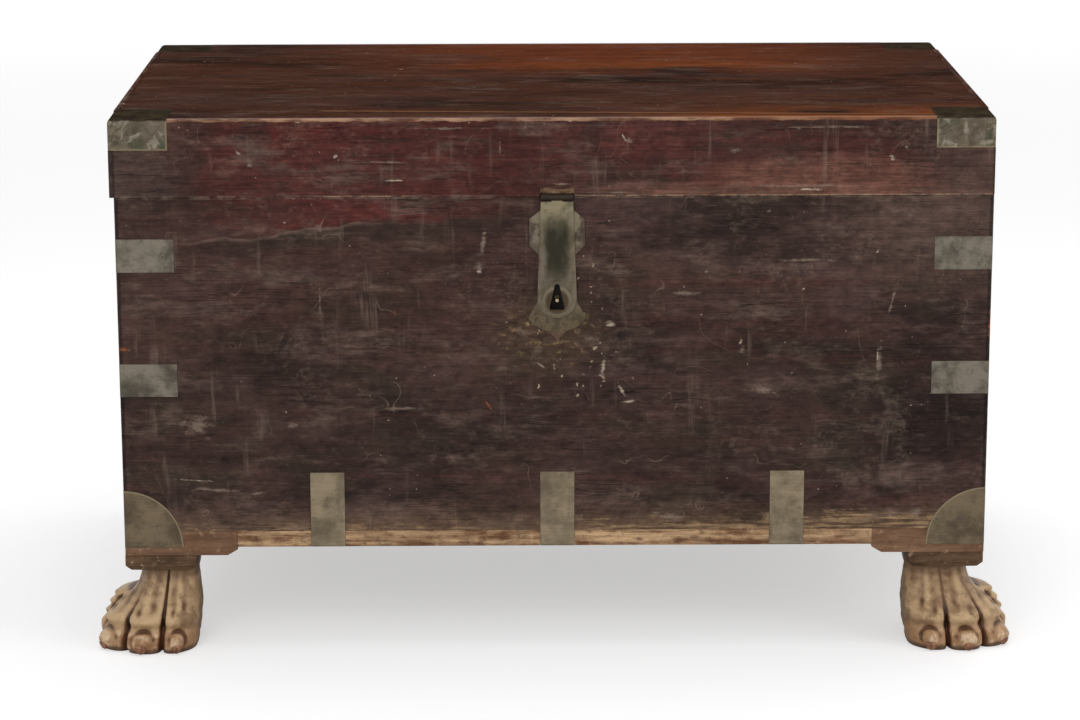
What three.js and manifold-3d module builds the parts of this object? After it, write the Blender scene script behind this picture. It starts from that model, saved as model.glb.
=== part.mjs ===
// Sea chest: a dovetailed wooden chest with a framed lid, let-in brass mounts, a hasp lock,
// side handles, a till inside and four carved paw feet.
// Millimetres, +Z up. X runs along the front, left to right, and the front faces -Y.
// The origin is on the floor, under the middle of the chest.

import * as THREE from 'three';
import { mergeVertices } from 'three/addons/utils/BufferGeometryUtils.js';
import { RoundedBoxGeometry } from 'three/addons/geometries/RoundedBoxGeometry.js';
import Module from 'manifold-3d';

const wasm = await Module();
wasm.setup();

// Carcase
const chestWidth = 1040;
const chestDepth = 620;
const seamHeight = 430;
const boardThickness = 20;
const bottomThickness = 20;
const arris = 1.6;
const tailLap = 14;
const tailFlare = 3.5;
const tailRootShare = 0.6;
const carcaseTails = 5;

// Lid
const lidHeight = 93.4;
const lidTopThickness = 18;
const lidLand = 8;
const lidOverhang = 2.5;
const lidCreep = 2.5;
const lidJointFromFront = 358;
const lidTails = 2;

// Fits
const seamGap = 0.6;
const fitGap = 0.3;
const overrun = 5;

// Brass mounts
const brassThickness = 2;
const brassProud = 0.3;
const brassBend = 3;
const strapHeight = 40;
const strapReach = 69;
const lowerStrapRise = 188;
const upperStrapBelowSeam = 50;
const capReach = 70;
const capDrop = 37;
const capRadius = 6;
const cornerPlateRadius = 71;
const edgeStrapWidth = 41;
const edgeStrapRise = 93;
const edgeStrapUnder = 60;
const edgeStrapFromEnd = 243;

// Lock plate and hasp
const lockOffset = 3;
const plateTopBelowSeam = 18;
const earHalfWidth = 33;
const earTopBelowSeam = 27;
const earFootBelowSeam = 59;
const plateWaistHalfWidth = 21;
const plateWaistTopBelowSeam = 71;
const plateWaistFootBelowSeam = 112;
const plateFlareHalfWidth = 34.5;
const plateFlareBelowSeam = 146;
const plateFootBelowSeam = 160;
const plateTipBelowSeam = 175;
const haspTopWidth = 38.5;
const haspEndWidth = 47;
const haspThickness = 2.5;
const haspBevel = 0.5;
const haspStandoff = 0.6;
const haspTopBelowSeam = 6;
const haspEndBelowSeam = 147;
const bossRadius = 17.5;
const bossHeight = 2.5;
const bossBevel = 1.2;
const bossTopRadius = 6;
const bossTopRise = 17;
const keyholeTopRadius = 3.2;
const keyholeTopRise = 15.5;
const keyholeFootHalfWidth = 8;
const keyholeFlareHalfWidth = 9;
const keyholeFootDrop = 13;
const keyholeFlareDrop = 10;
const keyholeGap = 0.6;

// Hinge of the hasp
const haspAxisBelowSeam = 0.7;
const knuckleRadius = 3.8;
const haspPinRadius = 1.5;
const haspKnuckleLength = 13;
const notchRise = 11;
const notchDepth = 6;
const notchSideGap = 1;
const leafThickness = 2;
const leafRise = 40;

// Staple, bolt and lock case
const stapleBelowSeam = 84;
const stapleWidth = 4;
const stapleLeg = 2.2;
const stapleBar = 1.6;
const stapleDepth = 9.4;
const channelGap = 0.8;
const boltHeight = 7;
const boltThickness = 3;
const boltLength = 12.6;
const boltTailLength = 4.3;
const boltInset = 1.5;
const boltSlack = 0.5;
const boltBackFromStaple = 1.2;
const boltShelf = 2;
const caseWidth = 36;
const caseTopBelowSeam = 73;
const caseFootBelowSeam = 145;
const caseDepth = 17;
const caseWall = 1.6;
const drillPinRadius = 2;
const drillPinDrop = 2.5;

// Rear butt hinges
const buttInset = 6;
const buttRadius = 5;
const buttPinRadius = 1.6;
const buttLength = 76;
const buttLeafReach = 13;
const buttSpacing = 640;
const lidOpening = 100;
const lidStopSlack = 3;

// Side handles
const handleRise = 312;
const handlePlateLength = 150;
const handlePlateHeight = 46;
const handlePlateThickness = 2.5;
const handlePlateCorner = 10;
const lugSpacing = 104;
const lugThickness = 8;
const lugRadius = 7;
const bailRadius = 5;
const bailPinRadius = 3;
const bailPinProud = 1;
const bailStandoff = 10;
const bailDrop = 46;
const bailBend = 16;
const bailHead = 4;
const bailSideGap = 0.6;

// Till
const tillWidth = 138;
const tillDepth = 96;
const tillBelowSeam = 62;
const tillBoard = 10;
const tillHousing = 5;
const tillPinRadius = 4;
const tillEdgeGap = 1;
const tillLidOverhang = 4;

// Feet
const footHeight = 128;
const bracketReach = 136;
const bracketDrop = 10;
const bracketChamferRun = 12;
const bracketChamferRise = 7;
const bracketThroat = 50;
const blockWidth = 92;
const blockHeight = 20;
const blockChamfer = 6;
const neckHalfWidth = 38;
const soleHalfWidth = 45;
const neckSquareness = 3.2;
const toeReaches = [78, 84, 94];
const firstToeAngle = -14;
const toeHalfAngle = 17.5;
const dewclawReach = 72;
const dewclawAngle = 98;
const dewclawHalfAngle = 21;
const webShare = 0.7;
const stepsPerToe = 6;
const heelSteps = 10;
const fullTurn = 360;

// How the foot of the lock plate curves, as shares of its flare and of its tip
const flareShare = 0.25;
const tipWidthShares = [0.5, 0.16];

// The paw from its neck down to the floor, as shares of its height: how wide the leg is, and how far
// each toe has reached out of it
const ringShares = [0, 0.07, 0.14, 0.22, 0.3, 0.37, 0.46, 0.55, 0.63, 0.71, 0.79, 0.87, 0.94, 1];
const legShares = [[0, 1], [0.1, 0.93], [0.3, 1], [1, 1]];
const toeShares = [
  [0, 0], [0.1, 0.02], [0.3, 0.26], [0.5, 0.52], [0.63, 0.8], [0.73, 0.78], [0.85, 1], [0.94, 0.97], [1, 0.82],
];
const dewclawShares = [
  [0, 0], [0.2, 0], [0.24, 0.1], [0.3, 0.62], [0.37, 0.7], [0.46, 0.86], [0.55, 0.95], [0.65, 1],
  [0.8, 0.9], [1, 0.6],
];

const wood = new THREE.MeshStandardMaterial({ color: 0x43292a, roughness: 0.62, metalness: 0 });
const wornWood = new THREE.MeshStandardMaterial({ color: 0x8a6a48, roughness: 0.8, metalness: 0 });
const bareWood = new THREE.MeshStandardMaterial({ color: 0x6d4a38, roughness: 0.75, metalness: 0 });
const pawWood = new THREE.MeshStandardMaterial({ color: 0xb49a78, roughness: 0.7, metalness: 0 });
const brass = new THREE.MeshStandardMaterial({ color: 0x6e6c5f, roughness: 0.5, metalness: 0.8 });
const brightBrass = new THREE.MeshStandardMaterial({ color: 0xb9a06a, roughness: 0.35, metalness: 0.9 });

// Planes of the chest; heights are measured from the underside of the bottom board
const front = -chestDepth / 2;
const back = chestDepth / 2;
const left = -chestWidth / 2;
const right = chestWidth / 2;
const wallFoot = bottomThickness + fitGap;
const lidFoot = seamHeight + seamGap;
const lidTop = lidFoot + lidHeight;
const lidFront = front - lidOverhang;
const lidBack = back;
const lidLeft = left - lidOverhang - lidCreep;
const lidRight = right + lidOverhang - lidCreep;
const upperStrapRise = seamHeight - upperStrapBelowSeam - strapHeight;

// Solids from three.js shapes

function solid(geometry) {
  const bare = geometry.clone();
  bare.deleteAttribute('normal');
  bare.deleteAttribute('uv');
  const merged = mergeVertices(bare);
  return new wasm.Manifold(new wasm.Mesh({
    numProp: 3,
    vertProperties: new Float32Array(merged.attributes.position.array),
    triVerts: new Uint32Array(merged.index.array),
  }));
}

function geometryOf(body) {
  const mesh = body.getMesh();
  const geometry = new THREE.BufferGeometry();
  geometry.setAttribute('position', new THREE.BufferAttribute(mesh.vertProperties, 3));
  geometry.setIndex(new THREE.BufferAttribute(mesh.triVerts, 1));
  geometry.computeVertexNormals();
  return geometry;
}

function join(...bodies) {
  return bodies.reduce((sum, next) => sum.add(next));
}

function cut(body, ...tools) {
  return tools.reduce((rest, tool) => rest.subtract(tool), body);
}

function box(x0, x1, y0, y1, z0, z1) {
  const geometry = new THREE.BoxGeometry(x1 - x0, y1 - y0, z1 - z0);
  return solid(geometry.translate((x0 + x1) / 2, (y0 + y1) / 2, (z0 + z1) / 2));
}

function roundedBox(x0, x1, y0, y1, z0, z1, radius, segments) {
  const geometry = new RoundedBoxGeometry(x1 - x0, y1 - y0, z1 - z0, segments, radius);
  return solid(geometry.translate((x0 + x1) / 2, (y0 + y1) / 2, (z0 + z1) / 2));
}

function outline(points) {
  return new THREE.Shape(points.map(([a, b]) => new THREE.Vector2(a, b)));
}

function extrusion(shape, depth, bevel, curveSegments) {
  const geometry = new THREE.ExtrudeGeometry(shape, {
    depth: depth - 2 * bevel,
    bevelEnabled: bevel > 0,
    bevelThickness: bevel,
    bevelSize: bevel,
    bevelOffset: -bevel,
    bevelSegments: 1,
    curveSegments,
  });
  return geometry.translate(0, 0, bevel);
}

// An outline in Y and Z carried along X
function prismX(shape, x0, x1, curveSegments = 6) {
  const turn = new THREE.Matrix4().makeBasis(
    new THREE.Vector3(0, 1, 0), new THREE.Vector3(0, 0, 1), new THREE.Vector3(1, 0, 0));
  return solid(extrusion(shape, x1 - x0, 0, curveSegments).applyMatrix4(turn).translate(x0, 0, 0));
}

// An outline in X and Z carried along Y
function prismY(shape, y0, y1, bevel = 0, curveSegments = 6) {
  return solid(extrusion(shape, y1 - y0, bevel, curveSegments).rotateX(Math.PI / 2).translate(0, y1, 0));
}

// An outline in X and Y carried along Z
function prismZ(shape, z0, z1, curveSegments = 6) {
  return solid(extrusion(shape, z1 - z0, 0, curveSegments).translate(0, 0, z0));
}

function rodX(radius, x0, x1, y, z, sides = 16) {
  const geometry = new THREE.CylinderGeometry(radius, radius, x1 - x0, sides).rotateZ(Math.PI / 2);
  return solid(geometry.translate((x0 + x1) / 2, y, z));
}

function rodY(radius, y0, y1, x, z, sides = 16) {
  const geometry = new THREE.CylinderGeometry(radius, radius, y1 - y0, sides);
  return solid(geometry.translate(x, (y0 + y1) / 2, z));
}

// The value of a table of shares at one place in it
function shareAt(shares, place) {
  const next = Math.max(1, shares.findIndex(([stop]) => stop >= place));
  const [a, low] = shares[next - 1];
  const [b, high] = shares[next];
  return low + (high - low) * (place - a) / (b - a);
}

// The chest is a group of named meshes, raised on its feet
const chest = new THREE.Group();
const raised = new THREE.Group();
raised.position.z = footHeight;
chest.add(raised);

function addPiece(name, body, material) {
  const mesh = new THREE.Mesh(geometryOf(body), material);
  mesh.name = name;
  raised.add(mesh);
  return mesh;
}

// What sits at a corner is drawn there with its arms along +X and +Y, and turned to each of the four in place
function cornersOf(x0, x1, y0, y1) {
  return [
    { name: 'front_left', x: x0, y: y0, turn: 0 },
    { name: 'front_right', x: x1, y: y0, turn: Math.PI / 2 },
    { name: 'rear_right', x: x1, y: y1, turn: Math.PI },
    { name: 'rear_left', x: x0, y: y1, turn: -Math.PI / 2 },
  ];
}
const bodyCorners = cornersOf(left, right, front, back);
const lidCorners = cornersOf(lidLeft, lidRight, lidFront, lidBack);

function atPlace(body, place, z) {
  const matrix = new THREE.Matrix4().makeRotationZ(place.turn).setPosition(place.x, place.y, z);
  return solid(geometryOf(body).applyMatrix4(matrix));
}

function addAtPlace(name, body, place, z, material) {
  const mesh = addPiece(name, body, material);
  mesh.position.set(place.x, place.y, z);
  mesh.rotation.z = place.turn;
}

// Brass let in at the corners and edges

const brassInner = brassThickness - brassProud;
const recessDepth = brassInner + fitGap;

function bentCorner(outer, reach, radius) {
  const shape = new THREE.Shape();
  shape.moveTo(reach, outer);
  shape.lineTo(outer + radius, outer);
  shape.absarc(outer + radius, outer + radius, radius, -Math.PI / 2, -Math.PI, true);
  shape.lineTo(outer, reach);
  return shape;
}

function cornerStrap() {
  const shape = bentCorner(-brassProud, strapReach, brassBend);
  shape.lineTo(brassInner, strapReach);
  shape.lineTo(brassInner, brassInner);
  shape.lineTo(strapReach, brassInner);
  return prismZ(shape, 0, strapHeight, 3);
}

function cornerStrapRecess() {
  const reach = strapReach + fitGap;
  const shape = outline([
    [-overrun, -overrun], [reach, -overrun], [reach, recessDepth],
    [recessDepth, recessDepth], [recessDepth, reach], [-overrun, reach],
  ]);
  return prismZ(shape, -fitGap, strapHeight + fitGap);
}

function quarterDisc(radius, from) {
  const shape = new THREE.Shape();
  shape.moveTo(from, from);
  shape.lineTo(radius, from);
  shape.absarc(0, 0, radius, 0, Math.PI / 2, false);
  shape.lineTo(from, radius);
  return shape;
}

function quarterPair(radius, outer, inner, foot) {
  const onFront = prismY(quarterDisc(radius, outer), outer, inner, 0, 12);
  const onSide = prismX(quarterDisc(radius, outer), outer, inner, 12);
  return join(onFront, onSide).intersect(box(outer, radius, outer, radius, foot, radius));
}

function cornerPlate() {
  const round = bentCorner(-brassProud, cornerPlateRadius, brassBend);
  round.lineTo(cornerPlateRadius, cornerPlateRadius);
  const pair = quarterPair(cornerPlateRadius, -brassProud, brassInner, 0);
  return pair.intersect(prismZ(round, 0, cornerPlateRadius, 3));
}

function cornerPlateRecess() {
  return quarterPair(cornerPlateRadius + fitGap, -overrun, recessDepth, -fitGap);
}

// The lid's corner caps bulge over the three edges that meet there
function capBlock(inset, radius) {
  const far = capReach + capRadius + overrun;
  return roundedBox(inset, far, inset, far, -far, -inset, radius, 2);
}

function lidCap() {
  const shell = cut(capBlock(-brassProud, capRadius), capBlock(brassInner, capRadius - brassThickness));
  return shell.intersect(box(-overrun, capReach, -overrun, capReach, -capDrop, overrun));
}

function lidCapRecess() {
  const reach = capReach + fitGap;
  const space = box(-overrun, reach, -overrun, reach, -capDrop - fitGap, overrun);
  return cut(space, capBlock(recessDepth, capRadius - brassThickness));
}

// Straps wrap the bottom edge, front and back
function edgeStrap() {
  const shape = bentCorner(-brassProud, edgeStrapUnder, brassBend);
  shape.lineTo(-brassProud, edgeStrapRise);
  shape.lineTo(brassInner, edgeStrapRise);
  shape.lineTo(brassInner, brassInner);
  shape.lineTo(edgeStrapUnder, brassInner);
  return prismX(shape, -edgeStrapWidth / 2, edgeStrapWidth / 2, 3);
}

function edgeStrapRecess() {
  const under = edgeStrapUnder + fitGap;
  const rise = edgeStrapRise + fitGap;
  const shape = outline([
    [-overrun, -overrun], [under, -overrun], [under, recessDepth],
    [recessDepth, recessDepth], [recessDepth, rise], [-overrun, rise],
  ]);
  return prismX(shape, -edgeStrapWidth / 2 - fitGap, edgeStrapWidth / 2 + fitGap);
}

const edgeStrapPlaces = [
  ['left', left + edgeStrapFromEnd], ['middle', 0], ['right', right - edgeStrapFromEnd],
].flatMap(([name, place]) => {
  const x = place + lockOffset;
  return [
    { name: `${name}_front`, x, y: front, turn: 0 },
    { name: `${name}_rear`, x, y: back, turn: Math.PI },
  ];
});

const bodyRecesses = [
  ...bodyCorners.flatMap((corner) => [
    atPlace(cornerStrapRecess(), corner, lowerStrapRise),
    atPlace(cornerStrapRecess(), corner, upperStrapRise),
    atPlace(cornerPlateRecess(), corner, 0),
  ]),
  ...edgeStrapPlaces.map((place) => atPlace(edgeStrapRecess(), place, 0)),
];
const lidRecesses = lidCorners.map((corner) => atPlace(lidCapRecess(), corner, lidTop));

// Lapped dovetails: tails on the end boards, stopped short of the front and back faces.
// grow is 0 for the tails and the fit gap for their sockets.
function tails(x, y, z0, z1, count, grow) {
  const sideX = Math.sign(x);
  const sideY = Math.sign(y);
  const pitch = (z1 - z0) / count;
  const root = pitch * tailRootShare / 2 + grow;
  const end = root + tailFlare;
  const heart = y - sideY * (boardThickness + overrun);
  const shoulder = y - sideY * boardThickness;
  const tip = shoulder + sideY * (tailLap + grow);
  const outer = x + sideX * (grow > 0 ? overrun : 0);
  const inner = x - sideX * (boardThickness + grow);
  return join(...Array.from({ length: count }, (_, i) => {
    const middle = z0 + (i + 0.5) * pitch;
    const shape = outline([
      [heart, middle - root], [shoulder, middle - root], [tip, middle - end],
      [tip, middle + end], [shoulder, middle + root], [heart, middle + root],
    ]);
    return prismX(shape, Math.min(outer, inner), Math.max(outer, inner));
  }));
}

// Rear hinges: where the two leaves and their barrel go, and the bevels that stop the lid past upright

const buttAxisY = back - buttInset;
const buttAxisZ = seamHeight + seamGap / 2;
const buttPlaces = [
  { name: 'left', x: -buttSpacing / 2 },
  { name: 'right', x: buttSpacing / 2 },
];
const buttThird = buttLength / 3;

function buttLeaf(x, z0, z1, knuckles) {
  const half = buttLength / 2;
  const plate = box(x - half, x + half, buttAxisY - buttLeafReach, buttAxisY, z0, z1);
  const thirds = [0, 1, 2].map((i) => ({
    own: knuckles.includes(i),
    from: x - half + i * buttThird,
    to: x - half + (i + 1) * buttThird,
  }));
  const own = thirds.filter((third) => third.own).map((third) => rodX(
    buttRadius, Math.max(third.from + fitGap / 2, x - half), Math.min(third.to - fitGap / 2, x + half),
    buttAxisY, buttAxisZ));
  const other = thirds.filter((third) => !third.own).map((third) => rodX(
    buttRadius + fitGap, third.from - fitGap / 2, third.to + fitGap / 2, buttAxisY, buttAxisZ));
  const bore = rodX(buttPinRadius + fitGap, x - buttLength, x + buttLength, buttAxisY, buttAxisZ, 12);
  return cut(join(cut(plate, ...other), ...own), bore);
}

function buttSpace(x, z0, z1) {
  const half = buttLength / 2 + fitGap;
  return join(
    box(x - half, x + half, buttAxisY - buttLeafReach - fitGap, buttAxisY, z0, z1),
    rodX(buttRadius + 2 * fitGap, x - half, x + half, buttAxisY, buttAxisZ));
}

function rearBevel(up) {
  const run = buttInset + overrun;
  const slope = Math.tan(THREE.MathUtils.degToRad((lidOpening + lidStopSlack) / 2));
  const shape = outline([
    [buttAxisY, buttAxisZ], [buttAxisY + run, buttAxisZ], [buttAxisY + run, buttAxisZ + up * run * slope],
  ]);
  return prismX(shape, left - overrun, right + overrun);
}

// Lock: everything hangs from the middle line of the lock and from the seam

const haspBack = front - haspStandoff;
const haspFront = haspBack - haspThickness;
const haspAxisY = (haspBack + haspFront) / 2;
const haspAxisZ = seamHeight - haspAxisBelowSeam;
const haspEndRadius = haspEndWidth / 2;
const bossZ = seamHeight - haspEndBelowSeam + haspEndRadius;
const stapleTop = seamHeight - stapleBelowSeam;
const stapleFoot = stapleTop - 2 * stapleLeg - boltHeight - 2 * boltSlack;
const boltMiddle = (stapleTop + stapleFoot) / 2;
const caseFront = front + recessDepth;
const boltFront = caseFront + boltInset;

// The plate's outline, as half widths and depths below the seam down to the pointed tip
function lockPlateOutline() {
  const flare = flareShare * (plateFlareHalfWidth - plateWaistHalfWidth);
  const foot = flareShare * (plateTipBelowSeam - plateFootBelowSeam);
  const half = [
    [plateWaistHalfWidth, plateTopBelowSeam],
    [earHalfWidth, earTopBelowSeam],
    [earHalfWidth, earFootBelowSeam],
    [plateWaistHalfWidth, plateWaistTopBelowSeam],
    [plateWaistHalfWidth, plateWaistFootBelowSeam],
    [plateWaistHalfWidth + flare, (plateWaistFootBelowSeam + plateFlareBelowSeam) / 2],
    [plateFlareHalfWidth, plateFlareBelowSeam],
    [plateFlareHalfWidth - flare, (plateFlareBelowSeam + plateFootBelowSeam) / 2],
    [plateWaistHalfWidth, plateFootBelowSeam],
    [plateWaistHalfWidth * tipWidthShares[0], plateFootBelowSeam + foot],
    [plateWaistHalfWidth * tipWidthShares[1], plateTipBelowSeam - foot],
  ];
  const other = half.map(([x, z]) => [-x, z]).reverse();
  const points = [...half, [0, plateTipBelowSeam], ...other];
  return outline(points.map(([x, z]) => [lockOffset + x, seamHeight - z]));
}

function haspOutline() {
  const shape = new THREE.Shape();
  const top = seamHeight - haspTopBelowSeam;
  shape.moveTo(lockOffset - haspTopWidth / 2, top);
  shape.lineTo(lockOffset - haspEndRadius, bossZ);
  shape.absarc(lockOffset, bossZ, haspEndRadius, Math.PI, 2 * Math.PI, false);
  shape.lineTo(lockOffset + haspTopWidth / 2, top);
  return shape;
}

function bossOutline() {
  const tangent = Math.asin((bossRadius - bossTopRadius) / bossTopRise);
  const shape = new THREE.Shape();
  shape.absarc(lockOffset, bossZ + bossTopRise, bossTopRadius, tangent, Math.PI - tangent, false);
  shape.absarc(lockOffset, bossZ, bossRadius, Math.PI - tangent, 2 * Math.PI + tangent, false);
  return shape;
}

function keyholeOutline(grow) {
  const foot = bossZ - keyholeFootDrop - grow;
  const flare = bossZ - keyholeFlareDrop;
  const shape = new THREE.Shape();
  shape.moveTo(lockOffset - keyholeFootHalfWidth - grow, foot);
  shape.lineTo(lockOffset + keyholeFootHalfWidth + grow, foot);
  shape.lineTo(lockOffset + keyholeFlareHalfWidth + grow, flare);
  shape.absarc(lockOffset, bossZ + keyholeTopRise, keyholeTopRadius + grow, 0, Math.PI, false);
  shape.lineTo(lockOffset - keyholeFlareHalfWidth - grow, flare);
  return shape;
}

// The open-topped channel that lets the staple ride up with the lid
function stapleChannel() {
  const half = stapleWidth / 2 + channelGap;
  return box(lockOffset - half, lockOffset + half, front - overrun, front + stapleDepth + channelGap,
    stapleFoot - channelGap, seamHeight + overrun);
}

function lockPlate() {
  const plate = prismY(lockPlateOutline(), front - brassProud, front + brassInner);
  const keyhole = prismY(keyholeOutline(keyholeGap), front - overrun, front + overrun);
  return cut(plate, keyhole, stapleChannel());
}

function lockPlateRecess() {
  const grown = prismY(lockPlateOutline(), front - overrun, front + recessDepth);
  const spread = new THREE.Matrix4().makeTranslation(lockOffset, 0, seamHeight - haspEndBelowSeam / 2);
  spread.multiply(new THREE.Matrix4().makeScale(
    1 + 2 * fitGap / plateFlareHalfWidth, 1, 1 + 2 * fitGap / plateTipBelowSeam));
  spread.multiply(new THREE.Matrix4().makeTranslation(-lockOffset, 0, haspEndBelowSeam / 2 - seamHeight));
  return solid(geometryOf(grown).applyMatrix4(spread));
}

function knuckle(radius, x0, x1) {
  return rodX(radius, x0, x1, haspAxisY, haspAxisZ);
}

function haspPinBore() {
  return rodX(haspPinRadius + fitGap / 2, lockOffset - haspTopWidth, lockOffset + haspTopWidth,
    haspAxisY, haspAxisZ, 12);
}

function staple() {
  const x0 = lockOffset - stapleWidth / 2;
  const x1 = lockOffset + stapleWidth / 2;
  const eyeFront = boltFront - boltInset / 2;
  const loop = box(x0, x1, haspBack - haspThickness / 2, front + stapleDepth, stapleFoot, stapleTop);
  return cut(loop, box(x0 - overrun, x1 + overrun, eyeFront, front + stapleDepth - stapleBar,
    stapleFoot + stapleLeg, stapleTop - stapleLeg));
}

function hasp() {
  const half = haspKnuckleLength / 2;
  const strap = prismY(haspOutline(), haspFront, haspBack, haspBevel, 10);
  const boss = prismY(bossOutline(), haspFront - bossHeight, haspBack - haspBevel, bossBevel, 10);
  const neck = box(lockOffset - half, lockOffset + half, haspFront, haspBack,
    seamHeight - haspTopBelowSeam - haspThickness, haspAxisZ);
  const barrel = knuckle(knuckleRadius, lockOffset - half, lockOffset + half);
  const keyhole = prismY(keyholeOutline(0), haspFront - bossHeight - overrun, haspBack + fitGap);
  return cut(join(strap, boss, neck, barrel, staple()), haspPinBore(), keyhole);
}

function haspHingeLeaf() {
  const half = haspTopWidth / 2;
  const inner = haspKnuckleLength / 2 + fitGap;
  const rail = lidFront + boardThickness + fitGap;
  const plate = box(lockOffset - half, lockOffset + half, haspAxisY, rail + leafThickness, lidFoot,
    lidFoot + leafThickness);
  const upstand = box(lockOffset - half, lockOffset + half, rail, rail + leafThickness, lidFoot,
    lidFoot + leafRise);
  const space = knuckle(knuckleRadius + 2 * fitGap, lockOffset - inner, lockOffset + inner);
  const knuckles = [-1, 1].map((side) => {
    const ends = [lockOffset + side * inner, lockOffset + side * half].sort((a, b) => a - b);
    return knuckle(knuckleRadius, ...ends);
  });
  return cut(join(cut(join(plate, upstand), space), ...knuckles), haspPinBore());
}

function haspLeafSpace() {
  const half = haspTopWidth / 2 + notchSideGap;
  const notch = box(lockOffset - half, lockOffset + half, lidFront - overrun, lidFront + notchDepth,
    lidFoot - overrun, seamHeight + notchRise);
  const slot = box(lockOffset - half, lockOffset + half, lidFront, lidFront + boardThickness + overrun,
    lidFoot - overrun, lidFoot + leafThickness + fitGap);
  return join(notch, slot);
}

function knuckleSpaceInFront() {
  const half = haspTopWidth / 2 + notchSideGap;
  const depth = knuckleRadius - haspStandoff - haspThickness / 2 + 2 * fitGap;
  return box(lockOffset - half, lockOffset + half, front - overrun, front + depth,
    haspAxisZ - knuckleRadius - 2 * fitGap, seamHeight + overrun);
}

// The lock case is a brass tray, open to the back of the plate, with a shelf for the bolt and the drill pin
function lockCase() {
  const x0 = lockOffset - caseWidth / 2;
  const x1 = lockOffset + caseWidth / 2;
  const z0 = seamHeight - caseFootBelowSeam;
  const z1 = seamHeight - caseTopBelowSeam;
  const rear = caseFront + caseDepth;
  const tray = cut(
    box(x0, x1, caseFront, rear, z0, z1),
    box(x0 + caseWall, x1 - caseWall, caseFront - overrun, rear - caseWall, z0 + caseWall, z1 - caseWall),
    stapleChannel());
  const shelfTop = boltMiddle - boltHeight / 2 - fitGap;
  const shelf = box(lockOffset + stapleWidth / 2, x1 - caseWall / 2, front + stapleDepth + channelGap,
    rear - caseWall / 2, shelfTop - boltShelf, shelfTop);
  const pin = rodY(drillPinRadius, front, rear - caseWall / 2, lockOffset, bossZ - drillPinDrop, 12);
  return join(tray, shelf, pin);
}

function lockMortise() {
  const half = caseWidth / 2 + fitGap;
  return box(lockOffset - half, lockOffset + half, front - overrun, front + boardThickness + overrun,
    seamHeight - caseFootBelowSeam - fitGap, seamHeight - caseTopBelowSeam + fitGap);
}

function lockBolt() {
  const x0 = lockOffset + stapleWidth / 2 + boltBackFromStaple;
  const x1 = x0 + boltLength;
  const z0 = boltMiddle - boltHeight / 2;
  const z1 = boltMiddle + boltHeight / 2;
  const tongue = box(x0, x1, boltFront, boltFront + boltThickness, z0, z1);
  const tail = box(x1 - boltTailLength, x1, boltFront, caseFront + caseDepth - caseWall - fitGap, z0, z1);
  return join(tongue, tail);
}

// Till: its boards are housed in the front and back boards, and its lid turns on pins in them

const tillLeft = left + boardThickness;
const tillRight = tillLeft + tillWidth;
const tillTop = seamHeight - tillBelowSeam;
const tillFoot = tillTop - tillDepth;
const tillAxisX = tillLeft + tillEdgeGap + tillBoard / 2;
const tillAxisZ = tillTop - tillBoard / 2;
const wellFront = front + boardThickness;
const wellBack = back - boardThickness;

function tillBottom() {
  return box(tillLeft + fitGap, tillRight - tillBoard - fitGap, wellFront - tillHousing,
    wellBack + tillHousing, tillFoot, tillFoot + tillBoard);
}

function tillFront() {
  return box(tillRight - tillBoard, tillRight, wellFront - tillHousing, wellBack + tillHousing,
    tillFoot, tillTop - tillBoard - fitGap);
}

function tillHousings() {
  const depth = tillHousing + fitGap;
  return join(
    box(tillLeft - fitGap, tillRight - tillBoard, wellFront - depth, wellBack + depth,
      tillFoot - fitGap, tillFoot + tillBoard + fitGap),
    box(tillRight - tillBoard - fitGap, tillRight + fitGap, wellFront - depth, wellBack + depth,
      tillFoot - fitGap, tillTop - tillBoard),
    rodY(tillPinRadius + fitGap, wellFront - depth, wellBack + depth, tillAxisX, tillAxisZ, 12));
}

function tillLid() {
  const radius = tillBoard / 2;
  const shape = new THREE.Shape();
  shape.moveTo(tillRight + tillLidOverhang, tillAxisZ - radius);
  shape.lineTo(tillRight + tillLidOverhang, tillAxisZ + radius);
  shape.lineTo(tillAxisX, tillAxisZ + radius);
  shape.absarc(tillAxisX, tillAxisZ, radius, Math.PI / 2, 1.5 * Math.PI, false);
  const board = prismY(shape, wellFront + tillEdgeGap, wellBack - tillEdgeGap);
  const pins = rodY(tillPinRadius, wellFront - tillHousing, wellBack + tillHousing, tillAxisX, tillAxisZ, 12);
  return join(board, pins);
}

// Carcase

const carcaseBlock = roundedBox(left, right, front, back, -overrun, seamHeight + overrun + arris, arris, 1);

function frontBoard() {
  const board = box(left, right, front, front + boardThickness, wallFoot, seamHeight).intersect(carcaseBlock);
  const sockets = [left, right].map((x) => tails(x, front, wallFoot, seamHeight, carcaseTails, fitGap));
  return cut(board, ...sockets, ...bodyRecesses, lockPlateRecess(), lockMortise(), stapleChannel(),
    knuckleSpaceInFront(), tillHousings());
}

function backBoard() {
  const board = box(left, right, back - boardThickness, back, wallFoot, seamHeight).intersect(carcaseBlock);
  const sockets = [left, right].map((x) => tails(x, back, wallFoot, seamHeight, carcaseTails, fitGap));
  const leafFoot = seamHeight - leafThickness - fitGap;
  const hinges = buttPlaces.map(({ x }) => buttSpace(x, leafFoot, seamHeight + overrun));
  return cut(board, ...sockets, ...bodyRecesses, ...hinges, rearBevel(-1), tillHousings());
}

function sideBoard(x) {
  const inner = x - Math.sign(x) * boardThickness;
  const board = box(Math.min(x, inner), Math.max(x, inner), wellFront + fitGap, wellBack - fitGap,
    wallFoot, seamHeight);
  const ends = [front, back].map((y) => tails(x, y, wallFoot, seamHeight, carcaseTails, 0));
  return cut(join(board, ...ends), ...bodyRecesses);
}

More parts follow.
